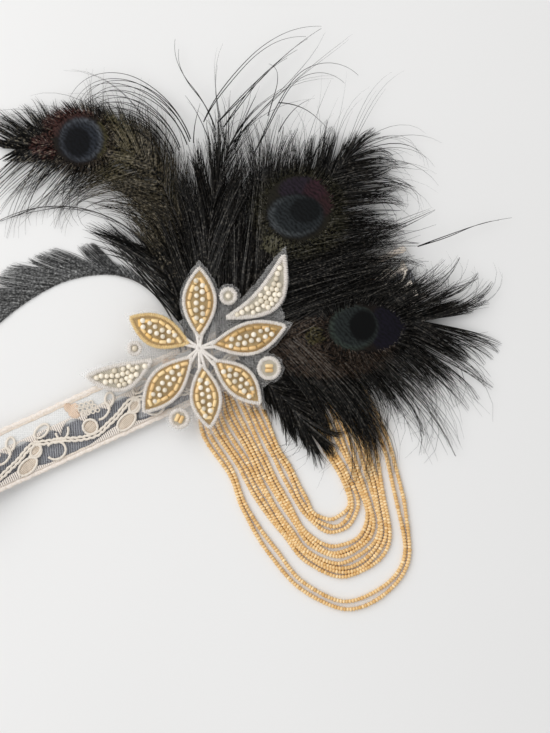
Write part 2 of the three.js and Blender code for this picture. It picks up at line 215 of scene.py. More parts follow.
@dataclass
class Soup:
    """Many small shapes gathered as arrays, in millimetres, and joined as one mesh."""

    verts: list[np.ndarray] = field(default_factory=list)
    faces: list[np.ndarray] = field(default_factory=list)
    tones: list[np.ndarray] = field(default_factory=list)
    runs: list[np.ndarray] = field(default_factory=list)
    count: int = 0

    def add(
        self, verts: np.ndarray, faces: np.ndarray, tone: np.ndarray, run: np.ndarray | None = None
    ) -> None:
        """Add shapes.

        Args:
            verts: Points, n by 3.
            faces: Triangles, m by 3, counted from these points.
            tone: A number for each point, the same all over one small shape.
            run: How far along its own length each point lies, from 0 to 1.
        """
        self.verts.append(verts)
        self.faces.append(faces + self.count)
        self.tones.append(tone)
        self.runs.append(np.zeros(len(verts)) if run is None else run)
        self.count += len(verts)

    def mesh(self, name: str) -> Mesh:
        """Join what was added as one mesh in metres, with its tone and run attributes."""
        verts = np.concatenate(self.verts).astype(np.float32) * MM
        faces = np.concatenate(self.faces).astype(np.int32)
        mesh = bpy.data.meshes.new(name)
        mesh.vertices.add(len(verts))
        mesh.vertices.foreach_set("co", verts.ravel())
        mesh.loops.add(faces.size)
        mesh.loops.foreach_set("vertex_index", faces.ravel())
        mesh.polygons.add(len(faces))
        mesh.polygons.foreach_set("loop_start", np.arange(0, faces.size, 3, dtype=np.int32))
        for key, values in (("tone", self.tones), ("run", self.runs)):
            layer = mesh.attributes.new(key, "FLOAT", "POINT")
            layer.data.foreach_set("value", np.concatenate(values).astype(np.float32))
        mesh.update(calc_edges=True)
        mesh.validate()
        return mesh

    def sweep(
        self, paths: np.ndarray, wide: np.ndarray, high: np.ndarray, sides: int, tone: float | np.ndarray
    ) -> None:
        """Sweep tubes along paths and add them.

        Args:
            paths: Points, n paths by m steps by 3.
            wide: Half widths across the paths.
            high: Half heights.
            sides: Corners of the section.
            tone: One tone for all, or one for each path.
        """
        verts, faces, along = tubes(paths, wide, high, sides)
        tones = spread(np.broadcast_to(tone, len(paths)), paths.shape[1] * sides)
        self.add(verts, faces, tones, along)

    def piece(self, name: str, material: Material, slot: Slot, nodes: tuple[str, ...] = ()) -> Object:
        """Finish what was added as one piece."""
        return finish_piece(self.mesh(name), name, material, nodes)


def tubes(
    paths: np.ndarray, wide: np.ndarray, high: np.ndarray, sides: int = 6
) -> tuple[np.ndarray, np.ndarray, np.ndarray]:
    """Sweep an oval section along many paths at once.

    Args:
        paths: Points, n paths by m steps by 3.
        wide: Half widths across the path, n by m.
        high: Half heights, n by m.
        sides: Corners of the section.

    Returns:
        Points, triangles, and how far along its path each point lies.
    """
    count, steps, _ = paths.shape
    run = np.gradient(paths, axis=1)
    run /= np.linalg.norm(run, axis=2, keepdims=True) + 1e-12
    side = np.stack([-run[..., 1], run[..., 0], np.zeros(run.shape[:2])], axis=-1)
    side /= np.linalg.norm(side, axis=2, keepdims=True) + 1e-12
    up = np.cross(run, side)
    turn = math.pi / 2 + 2 * math.pi * np.arange(sides) / sides
    points = (
        paths[:, :, None]
        + side[:, :, None] * (np.cos(turn)[None, None, :, None] * wide[:, :, None, None])
        + up[:, :, None] * (np.sin(turn)[None, None, :, None] * high[:, :, None, None])
    )
    verts = points.reshape(-1, 3)
    i, j = np.meshgrid(np.arange(steps - 1), np.arange(sides), indexing="ij")
    k = (j + 1) % sides
    a, b, c, d = i * sides + j, i * sides + k, (i + 1) * sides + k, (i + 1) * sides + j
    wall = np.concatenate([np.stack([a, c, b], -1).reshape(-1, 3), np.stack([a, d, c], -1).reshape(-1, 3)])
    fan = np.arange(1, sides - 1)
    last = (steps - 1) * sides
    near = np.stack([np.zeros_like(fan), fan, fan + 1], -1)
    far = np.stack([np.full_like(fan, last), last + fan + 1, last + fan], -1)
    one = np.concatenate([wall, near, far])
    faces = (one[None] + (np.arange(count) * steps * sides)[:, None, None]).reshape(-1, 3)
    along = np.broadcast_to(np.linspace(0, 1, steps)[None, :, None], (count, steps, sides)).ravel()
    return verts, faces, along


def spread(values: np.ndarray, each: int) -> np.ndarray:
    """Repeat each shape's value for all of its points."""
    return np.repeat(values, each)


def turned_about(
    x: float, y: float, run: np.ndarray, across: np.ndarray, turn: float
) -> tuple[np.ndarray, np.ndarray]:
    """Turn offsets by an angle in radians and set them off from a point of the plan."""
    return (
        x + run * math.cos(turn) - across * math.sin(turn),
        y + run * math.sin(turn) + across * math.cos(turn),
    )


def as_arrays(shape: bmesh.types.BMesh) -> tuple[np.ndarray, np.ndarray]:
    """Turn a bead's shape to lie along X, and give its points and triangles."""
    bmesh.ops.rotate(shape, matrix=Matrix.Rotation(math.pi / 2, 3, "Y"), verts=shape.verts)
    bmesh.ops.triangulate(shape, faces=shape.faces)
    shape.verts.ensure_lookup_table()
    verts = np.array([v.co[:] for v in shape.verts])
    faces = np.array([[v.index for v in f.verts] for f in shape.faces])
    shape.free()
    return verts, faces


def round_bead(radius: float, length: float, sides: int = 8) -> tuple[np.ndarray, np.ndarray]:
    """A round bead, its length along X, in millimetres."""
    shape = bmesh.new()
    bmesh.ops.create_uvsphere(shape, u_segments=sides, v_segments=sides // 2 + 1, radius=1.0)
    bmesh.ops.scale(shape, vec=(radius, radius, length / 2), verts=shape.verts)
    return as_arrays(shape)


def tube_bead(radius: float, length: float, sides: int = 8) -> tuple[np.ndarray, np.ndarray]:
    """A tube bead with softened ends, its length along X, in millimetres."""
    shape = bmesh.new()
    bmesh.ops.create_cone(
        shape, cap_ends=True, segments=sides, radius1=radius, radius2=radius, depth=length
    )
    rims = [edge for edge in shape.edges if abs(edge.verts[0].co.z - edge.verts[1].co.z) < 1e-6]
    bmesh.ops.bevel(
        shape, geom=rims, offset=radius * 0.45, segments=1, affect="EDGES", profile=0.5, material=-1
    )
    return as_arrays(shape)


def scatter(
    soup: Soup,
    bead: tuple[np.ndarray, np.ndarray],
    places: np.ndarray,
    runs: np.ndarray,
    scale: np.ndarray,
    tone: np.ndarray,
) -> None:
    """Put copies of a bead in a soup.

    Args:
        soup: What they are added to.
        bead: The bead's points and triangles, its length along X.
        places: Centres, n by 3.
        runs: Directions of the beads' length, n by 3.
        scale: A size for each.
        tone: A tone for each.
    """
    verts, faces = bead
    x = runs / (np.linalg.norm(runs, axis=1, keepdims=True) + 1e-12)
    y = np.cross(np.tile([0.0, 0.0, 1.0], (len(x), 1)), x)
    y /= np.linalg.norm(y, axis=1, keepdims=True) + 1e-12
    z = np.cross(x, y)
    turned = verts[None, :, 0, None] * x[:, None] + verts[None, :, 1, None] * y[:, None]
    turned = turned + verts[None, :, 2, None] * z[:, None]
    points = places[:, None] + turned * scale[:, None, None]
    joined = (faces[None] + (np.arange(len(places)) * len(verts))[:, None, None]).reshape(-1, 3)
    soup.add(points.reshape(-1, 3), joined, spread(tone, len(verts)))


# Lines


def read_at(row: tuple[float, ...], share: np.ndarray | float) -> np.ndarray:
    """Read values off a short row given at even shares from 0 to 1."""
    return np.interp(share, np.linspace(0, 1, len(row)), row)


def course(
    root: tuple[float, float], headings: tuple[float, ...], length: float, steps: int = 96
) -> np.ndarray:
    """Walk a line from its root along its headings.

    Args:
        root: Where it starts.
        headings: Degrees at even shares of its length.
        length: Its length.
        steps: How many steps it takes.

    Returns:
        Rows of share, x, y and heading in degrees.
    """
    share = np.linspace(0, 1, steps + 1)
    ahead = np.radians(read_at(headings, (share[:-1] + share[1:]) / 2))
    x = root[0] + np.concatenate([[0], np.cumsum(np.cos(ahead))]) * length / steps
    y = root[1] + np.concatenate([[0], np.cumsum(np.sin(ahead))]) * length / steps
    return np.stack([share, x, y, read_at(headings, share)], axis=1)


def even_points(points: np.ndarray, spacing: float, closed: bool = False) -> tuple[np.ndarray, np.ndarray]:
    """Space points evenly along a line.

    Args:
        points: The line, n by 3.
        spacing: The wanted distance.
        closed: Whether the line comes back to its start.

    Returns:
        The spaced points and their directions.
    """
    line = np.vstack([points, points[:1]]) if closed else points
    gaps = np.linalg.norm(np.diff(line, axis=0), axis=1)
    travelled = np.concatenate([[0], np.cumsum(gaps)])
    number = max(2, int(round(travelled[-1] / spacing)))
    marks = np.linspace(0, travelled[-1], number, endpoint=False) + (
        0 if closed else travelled[-1] / number / 2
    )
    spots = np.stack([np.interp(marks, travelled, line[:, i]) for i in range(3)], axis=1)
    ahead = np.stack([np.interp(marks + spacing * 0.2, travelled, line[:, i]) for i in range(3)], axis=1)
    behind = np.stack([np.interp(marks - spacing * 0.2, travelled, line[:, i]) for i in range(3)], axis=1)
    return spots, ahead - behind


def twisted_cord(
    soup: Soup, line: np.ndarray, radius: float, pitch: float, closed: bool = False, tone: float = 0.5
) -> None:
    """Lay a cord of two strands twisted round each other along a line.

    Args:
        soup: What it is added to.
        line: The cord's middle line, n by 3.
        radius: Half of the cord's thickness.
        pitch: The length of one full twist.
        closed: Whether it comes back to its start.
        tone: The tone of its strands.
    """
    spots, run = even_points(line, pitch / 8, closed)
    if closed:
        spots, run = np.vstack([spots, spots[:1]]), np.vstack([run, run[:1]])
    run /= np.linalg.norm(run, axis=1, keepdims=True) + 1e-12
    side = np.stack([-run[:, 1], run[:, 0], np.zeros(len(run))], axis=1)
    side /= np.linalg.norm(side, axis=1, keepdims=True) + 1e-12
    up = np.cross(run, side)
    turns = round(len(spots) / 8)
    angle = 2 * math.pi * turns * np.linspace(0, 1, len(spots))
    for phase in (0, math.pi):
        swing = np.cos(angle + phase)[:, None] * side + np.sin(angle + phase)[:, None] * up
        path = (spots + swing * radius * 0.45)[None]
        thick = np.full(path.shape[:2], radius * 0.62)
        soup.sweep(path, thick, thick, 5, tone)


# Finishes


@dataclass(frozen=True)
class BeadFinish:
    """Small glass or pearl beads, each with its own shade."""

    name: str
    shades: tuple[str, ...]
    roughness: float
    metallic: float = 0.0
    coat: float = 0.5

    def build(self) -> Material:
        """Make the material, shaded bead by bead from the tone attribute."""
        material, tree, shader = new_material(self.name)
        stops = [(i / (len(self.shades) - 1), shade) for i, shade in enumerate(self.shades)]
        colour = ramp(tree, attribute(tree, "tone"), stops)
        place = add_node(tree, "ShaderNodeTexCoord").outputs["Object"]
        swirl = noise_node(tree, place, 1100.0, 2.0)
        rough = add_node(
            tree, "ShaderNodeMapRange", inputs={
                "Value": swirl.outputs["Fac"],
                "To Min": self.roughness * 0.7,
                "To Max": self.roughness * 1.5,
            }
        )
        tree.links.new(colour.outputs["Color"], shader.inputs["Base Color"])
        tree.links.new(rough.outputs["Result"], shader.inputs["Roughness"])
        shader.inputs["Metallic"].default_value = self.metallic
        shader.inputs["Coat Weight"].default_value = self.coat
        shader.inputs["Coat Roughness"].default_value = 0.08
        return material


@dataclass(frozen=True)
class ThreadFinish:
    """Spun thread or twisted cord, its plies drawn along its run."""

    name: str
    light: str
    dark: str
    pitch: float
    roughness: float = 0.7

    def build(self) -> Material:
        """Make the material."""
        material, tree, shader = new_material(self.name)
        place = add_node(tree, "ShaderNodeTexCoord").outputs["Object"]
        # Fibres a few hundredths of a millimetre across, drawn coarser so that they can be seen.
        fibres = noise_node(tree, place, 1 / self.pitch, 3.0)
        mixed = math_node(
            tree,
            "MULTIPLY_ADD",
            fibres.outputs["Fac"],
            0.7,
            math_node(tree, "MULTIPLY", attribute(tree, "tone"), 0.35),
        )
        colour = ramp(tree, mixed, [(0.25, self.dark), (0.65, self.light)])
        bump = add_node(
            tree, "ShaderNodeBump", inputs={
                "Height": fibres.outputs["Fac"], "Strength": 0.5, "Distance": self.pitch * 0.3
            }
        )
        tree.links.new(colour.outputs["Color"], shader.inputs["Base Color"])
        tree.links.new(bump.outputs["Normal"], shader.inputs["Normal"])
        shader.inputs["Roughness"].default_value = self.roughness
        shader.inputs["Sheen Weight"].default_value = 0.25
        return material


@dataclass(frozen=True)
class SatinFinish:
    """Satin-stitched ground: fine floss with a soft lustre."""

    name: str
    light: str
    dark: str

    def build(self) -> Material:
        """Make the material."""
        material, tree, shader = new_material(self.name)
        place = add_node(tree, "ShaderNodeTexCoord").outputs["Object"]
        # Floss is 0.15 mm across; drawn at 0.5 mm.
        floss = add_node(
            tree,
            "ShaderNodeTexWave",
            {"bands_direction": "DIAGONAL"},
            {"Vector": place, "Scale": 600.0, "Distortion": 2.0, "Detail": 2.0},
        )
        cloud = noise_node(tree, place, 260.0, 3.0)
        mixed = math_node(
            tree,
            "MULTIPLY_ADD",
            floss.outputs["Fac"],
            0.45,
            math_node(tree, "MULTIPLY", cloud.outputs["Fac"], 0.6),
        )
        colour = ramp(tree, mixed, [(0.2, self.dark), (0.8, self.light)])
        bump = add_node(
            tree, "ShaderNodeBump", inputs={"Height": mixed, "Strength": 0.5, "Distance": 0.0002}
        )
        tree.links.new(colour.outputs["Color"], shader.inputs["Base Color"])
        tree.links.new(bump.outputs["Normal"], shader.inputs["Normal"])
        shader.inputs["Roughness"].default_value = 0.48
        return material


@dataclass(frozen=True)
class NetFinish:
    """Sheer net: round holes between fine threads."""

    name: str
    thread: str
    cell: float
    hole: float
    weave: float
    cloud: float
    worked: float = 0.0

    def build(self) -> Material:
        """Make the material. Its opacity goes down in the middle of each mesh of the net."""
        material, tree, shader = new_material(self.name)
        place = add_node(tree, "ShaderNodeTexCoord").outputs["Object"]
        flat = add_node(tree, "ShaderNodeMapping", inputs={"Vector": place, "Scale": (1.0, 1.0, 0.0)})
        cells = add_node(
            tree,
            "ShaderNodeTexVoronoi",
            {"feature": "F1", "voronoi_dimensions": "2D"},
            {"Vector": flat.outputs[0], "Scale": 1 / self.cell, "Randomness": 0.35},
        )
        cloud = noise_node(tree, place, 180.0, 3.0)
        cover = add_node(
            tree,
            "ShaderNodeMapRange",
            inputs={
                "Value": cells.outputs["Distance"],
                "From Min": 0.15,
                "From Max": 0.55,
                "To Min": self.hole,
                "To Max": self.weave,
            },
        )
        clouded = math_node(tree, "MULTIPLY_ADD", cloud.outputs["Fac"], self.cloud, cover.outputs["Result"])
        if self.worked:
            slope = math.radians(BAND_BEARING)
            across = add_node(
                tree, "ShaderNodeVectorMath", {"operation": "DOT_PRODUCT"}, {
                    0: place, 1: (-math.sin(slope), math.cos(slope), 0.0)
                }
            ).outputs["Value"]
            upper = add_node(
                tree, "ShaderNodeMapRange", inputs={
                    "Value": across, "From Min": 2 * MM, "From Max": 4 * MM, "To Max": self.worked
                }
            )
            clouded = math_node(tree, "ADD", clouded, upper.outputs["Result"])
        limited = math_node(tree, "MAXIMUM", math_node(tree, "SUBTRACT", clouded, self.cloud / 2), 0.02)
        tree.links.new(limited, shader.inputs["Alpha"])
        shader.inputs["Base Color"].default_value = linear(self.thread)
        shader.inputs["Roughness"].default_value = 0.85
        return material


@dataclass(frozen=True)
class ElasticFinish:
    """Ribbed elastic: dark cords of rubber wrapped in grey yarn, side by side across the band."""

    name: str = "ribbed_elastic_woven_grey"
    light: str = "#8E9099"
    dark: str = "#3A3B44"
    rib: float = 0.0012

    def build(self) -> Material:
        """Make the material on the sheet's own UV, in metres along and across."""
        material, tree, shader = new_material(self.name)
        uv = add_node(tree, "ShaderNodeUVMap", {"uv_map": "UVMap"}).outputs[0]
        split = add_node(tree, "ShaderNodeSeparateXYZ", inputs={"Vector": uv})
        wobble = add_node(tree, "ShaderNodeTexNoise", inputs={"Vector": uv, "Scale": 300.0})
        slope = math_node(tree, "MULTIPLY_ADD", split.outputs["Y"], 0.35, split.outputs["X"])
        turns = math_node(
            tree,
            "MULTIPLY_ADD",
            wobble.outputs["Fac"],
            3.0,
            math_node(tree, "MULTIPLY", slope, 2 * math.pi / self.rib),
        )
        ribs = math_node(tree, "MULTIPLY_ADD", math_node(tree, "SINE", turns), 0.5, 0.5)
        yarn = add_node(tree, "ShaderNodeTexNoise", inputs={"Vector": uv, "Scale": 1500.0, "Detail": 2.0})
        mixed = math_node(
            tree, "MULTIPLY_ADD", yarn.outputs["Fac"], 0.5, math_node(tree, "MULTIPLY", ribs, 0.7)
        )
        colour = ramp(tree, mixed, [(0.3, self.dark), (0.85, self.light)])
        bump = add_node(
            tree, "ShaderNodeBump", inputs={"Height": ribs, "Strength": 0.7, "Distance": 0.0004}
        )
        tree.links.new(colour.outputs["Color"], shader.inputs["Base Color"])
        tree.links.new(bump.outputs["Normal"], shader.inputs["Normal"])
        shader.inputs["Roughness"].default_value = 0.75
        return material


@dataclass(frozen=True)
class Patch:
    """An oval of colour dyed or grown into a feather, in millimetres in the plan."""

    colour: str
    x: float
    y: float
    wide: float
    high: float
    strength: float = 1.0


@dataclass(frozen=True)
class BarbFinish:
    """Dyed-black barbs with the faint bronze, olive and burgundy that the dye lets through."""

    name: str
    dark: str
    light: str
    warm: str
    # Pale fleck colour: partly pale fibres of the barbs, partly painted glints of light on the barbules.
    fleck_and_glint: str = "#55514A"
    patches: tuple[Patch, ...] = ()
    roughness: float = 0.34

    def build(self) -> Material:
        """Make the material: barb-by-barb shades, a cloudy warm cast, the eye's ovals and painted glints."""
        material, tree, shader = new_material(self.name)
        place = add_node(tree, "ShaderNodeTexCoord").outputs["Object"]
        cloud = noise_node(tree, place, 55.0, 2.0)
        barbules = noise_node(tree, place, 900.0, 2.0)
        tone = attribute(tree, "tone")
        shade = math_node(
            tree, "MULTIPLY_ADD", barbules.outputs["Fac"], 1.25, math_node(tree, "MULTIPLY", tone, 0.3)
        )
        cast = add_node(
            tree,
            "ShaderNodeMapRange",
            inputs={"Value": cloud.outputs["Fac"], "From Min": 0.5, "From Max": 0.75, "To Max": 0.6},
        )
        lit = self.blend(tree, cast.outputs["Result"], linear(self.light), linear(self.warm))
        lit = self.patched(tree, place, lit, self.patches, 0.007)
        cover = add_node(
            tree, "ShaderNodeMapRange", inputs={"Value": shade, "From Min": 0.58, "From Max": 0.9}
        )
        colour = self.blend(tree, cover.outputs["Result"], linear(self.dark), lit)
        # Painted glints: where barbule noise and the barb's tone run highest, the pale fleck colour is
        # painted in, partly for pale fibres and partly for glints of light.
        painted_glint = add_node(
            tree, "ShaderNodeMapRange", inputs={"Value": shade, "From Min": 0.87, "From Max": 1.03}
        )
        colour = self.blend(tree, painted_glint.outputs["Result"], colour, linear(self.fleck_and_glint))
        tree.links.new(colour, shader.inputs["Base Color"])
        shader.inputs["Roughness"].default_value = self.roughness
        gloss = add_node(
            tree,
            "ShaderNodeMapRange",
            inputs={"Value": tone, "From Min": 0.3, "To Min": 0.06, "To Max": 0.62},
        )
        tree.links.new(gloss.outputs["Result"], shader.inputs["Specular IOR Level"])
        return material

    @classmethod
    def patched(
        cls, tree: NodeTree, place: NodeSocket, colour: object, patches: tuple[Patch, ...], jitter: float
    ) -> object:
        """Lay patches over a colour, their rims broken up by a jitter in metres.

        Args:
            tree: The material's nodes.
            place: Where the surface is.
            colour: What lies under the patches.
            patches: The patches, the lowest first.
            jitter: How far their rims are moved.

        Returns:
            The mixed colour.
        """
        noise = noise_node(tree, place, 420.0, 1.0)
        shift = add_node(
            tree,
            "ShaderNodeVectorMath",
            {"operation": "SUBTRACT"},
            {0: noise.outputs["Color"], 1: (0.5, 0.5, 0.5)},
        )
        moved = add_node(
            tree, "ShaderNodeVectorMath", {"operation": "MULTIPLY_ADD"}, {
                0: shift.outputs[0], 1: (jitter, jitter, 0.0), 2: place
            }
        ).outputs[0]
        for patch in patches:
            colour = cls.blend(tree, cls.oval(tree, moved, patch), colour, linear(patch.colour))
        return colour

    @staticmethod
    def blend(tree: NodeTree, factor: NodeSocket, under: object, over: object) -> NodeSocket:
        """Lay one colour over another and return the mix."""
        node = add_node(tree, "ShaderNodeMix", {"data_type": "RGBA"}, {0: factor, 6: under, 7: over})
        return node.outputs[2]

    @staticmethod
    def oval(tree: NodeTree, place: NodeSocket, patch: Patch) -> NodeSocket:
        """How much a patch covers: full in its middle, gone at its rim."""
        centred = add_node(
            tree, "ShaderNodeVectorMath", {"operation": "SUBTRACT"}, {
                0: place, 1: (patch.x * MM, patch.y * MM, 0.0)
            }
        )
        scaled = add_node(
            tree,
            "ShaderNodeVectorMath",
            {"operation": "MULTIPLY"},
            {0: centred.outputs[0], 1: (1 / (patch.wide * MM), 1 / (patch.high * MM), 0.0)},
        )
        reach = add_node(
            tree, "ShaderNodeVectorMath", {"operation": "LENGTH"}, {0: scaled.outputs[0]}
        ).outputs["Value"]
        fade = add_node(
            tree,
            "ShaderNodeMapRange",
            {"interpolation_type": "SMOOTHSTEP"},
            {"Value": reach, "From Min": 0.82, "From Max": 1.12, "To Min": patch.strength, "To Max": 0.0},
        )
        return fade.outputs["Result"]


@dataclass(frozen=True)
class EyeFinish:
    """The eye's close, glossy barbs, its rings and pupil drawn as ovals from the outside in."""

    name: str
    light: str
    dark: str
    patches: tuple[Patch, ...]

    def build(self) -> Material:
        """Make the material."""
        material, tree, shader = new_material(self.name)
        place = add_node(tree, "ShaderNodeTexCoord").outputs["Object"]
        # Barbs lie 0.3 mm apart here; drawn at 1.1 mm.
        barbs = add_node(
            tree, "ShaderNodeTexWave", {"bands_direction": "DIAGONAL"}, {
                "Vector": place, "Scale": 250.0, "Distortion": 9.0, "Detail": 3.0
            }
        ).outputs["Fac"]
        speckle = noise_node(tree, place, 700.0, 2.0).outputs["Fac"]
        mixed = math_node(tree, "MULTIPLY_ADD", barbs, 0.4, math_node(tree, "MULTIPLY", speckle, 0.8))
        base = ramp(tree, mixed, [(0.3, self.dark), (0.85, self.light)]).outputs["Color"]
        colour = BarbFinish.patched(tree, place, base, self.patches, 0.0012)
        shadow = math_node(tree, "MULTIPLY", math_node(tree, "POWER", mixed, 1.6), 0.95)
        colour = BarbFinish.blend(tree, shadow, colour, linear("#050505"))
        bump = add_node(
            tree, "ShaderNodeBump", inputs={"Height": mixed, "Strength": 0.4, "Distance": 0.0001}
        )
        tree.links.new(colour, shader.inputs["Base Color"])
        tree.links.new(bump.outputs["Normal"], shader.inputs["Normal"])
        shader.inputs["Roughness"].default_value = 0.5
        shader.inputs["Specular IOR Level"].default_value = 0.08
        return material


# Band


@dataclass
class Loop:
    """The band's side profile: two layers on each other, open only at the left fold."""

    length: float = 530.0
    right: float = 110.0
    bearing: float = BAND_BEARING
    fold_height: float = 14.0
    fold_taper: float = 60.0

    def profile(self, inset: float) -> np.ndarray:
        """The closed profile this far inside the outer face, as rows of s and z."""
        left_end = -(self.length / 2 - self.right) + self.fold_height / 2
        right_end = self.right - BAND_STACK / 2
        low, flat, high = inset, BAND_STACK - inset, self.fold_height - inset
        turn = np.linspace(-math.pi / 2, math.pi / 2, 13)
        right_radius = (flat - low) / 2
        right_arc = np.stack(
            [right_end + right_radius * np.cos(turn), low + right_radius * (1 + np.sin(turn))], 1
        )
        t = np.linspace(0, 1, 25)[:, None]
        a, b, c, d = (
            np.array(p)
            for p in (
                (left_end + self.fold_taper, flat),
                (left_end + self.fold_taper * 0.6, flat),
                (left_end + self.fold_taper * 0.4, high),
                (left_end, high),
            )
        )
        rise = (1 - t) ** 3 * a + 3 * (1 - t) ** 2 * t * b + 3 * (1 - t) * t**2 * c + t**3 * d
        left_radius = (high - low) / 2
        left_arc = np.stack(
            [left_end - left_radius * np.cos(turn), high - left_radius * (1 + np.sin(turn))], 1
        )
        return np.vstack([[left_end, low], right_arc, rise, left_arc[1:-1]])

    def top(self, s: np.ndarray, inset: float = 0.0) -> np.ndarray:
        """Height of the top layer at distances along the band."""
        line = self.profile(inset)[13:39]
        order = np.argsort(line[:, 0])
        return np.interp(s, line[order, 0], line[order, 1])

    def place(self, s: np.ndarray, v: np.ndarray, z: np.ndarray) -> np.ndarray:
        """Turn distances along and across the band, and heights, to points of the frame."""
        turn = math.radians(self.bearing)
        return np.stack(
            [math.cos(turn) * s - math.sin(turn) * v, math.sin(turn) * s + math.cos(turn) * v, z + 0 * s],
            axis=-1,
        )

    def ribbon(self, name: str, inset: float, low: float, high: float, rows: int, ripple: float) -> Mesh:
        """Weave a closed ribbon along the profile.

        Args:
            name: The mesh's name.
            inset: How far inside the outer face it runs.
            low: Its lower edge across the band.
            high: Its upper edge.
            rows: Faces across it.
            ripple: How far its edges wave, in millimetres.

        Returns:
            The ribbon as quads with UV in metres.
        """
        line = self.profile(inset)
        spots, run = even_points(np.column_stack([line, np.zeros(len(line))]), 1.3, closed=True)
        normal = np.stack([run[:, 1], -run[:, 0]], 1)
        normal /= np.linalg.norm(normal, axis=1, keepdims=True)
        steps = len(spots)
        v = np.linspace(low, high, rows + 1)
        share = np.linspace(0, 2 * math.pi, steps, endpoint=False)[:, None]
        wave = ripple * (np.sin(share * 23 + v * 0.21) * 0.6 + np.sin(share * 57 - v * 0.5) * 0.4)
        s = spots[:, :1] + normal[:, :1] * wave
        z = spots[:, 1:2] + normal[:, 1:2] * wave
        edge = v[None] + ripple * 0.6 * np.sin(share * 41)
        points = self.place(s + 0 * v, edge, z + 0 * v).reshape(-1, 3) * MM
        i, j = np.meshgrid(np.arange(steps), np.arange(rows), indexing="ij")
        k = (i + 1) % steps
        quads = np.stack(
            [i * (rows + 1) + j, k * (rows + 1) + j, k * (rows + 1) + j + 1, i * (rows + 1) + j + 1], -1
        ).reshape(-1, 4)
        mesh = bpy.data.meshes.new(name)
        mesh.from_pydata(points.tolist(), [], quads.tolist())
        travelled = np.linalg.norm(np.diff(np.vstack([spots, spots[:1]]), axis=0), axis=1).sum() * MM
        u0, u1 = i.ravel() / steps * travelled, (i.ravel() + 1) / steps * travelled
        v0, v1 = v[j.ravel()] * MM, v[j.ravel() + 1] * MM
        uv = np.stack([u0, v0, u1, v0, u1, v1, u0, v1], -1)
        mesh.uv_layers.new(name="UVMap").data.foreach_set("uv", uv.ravel())
        return mesh


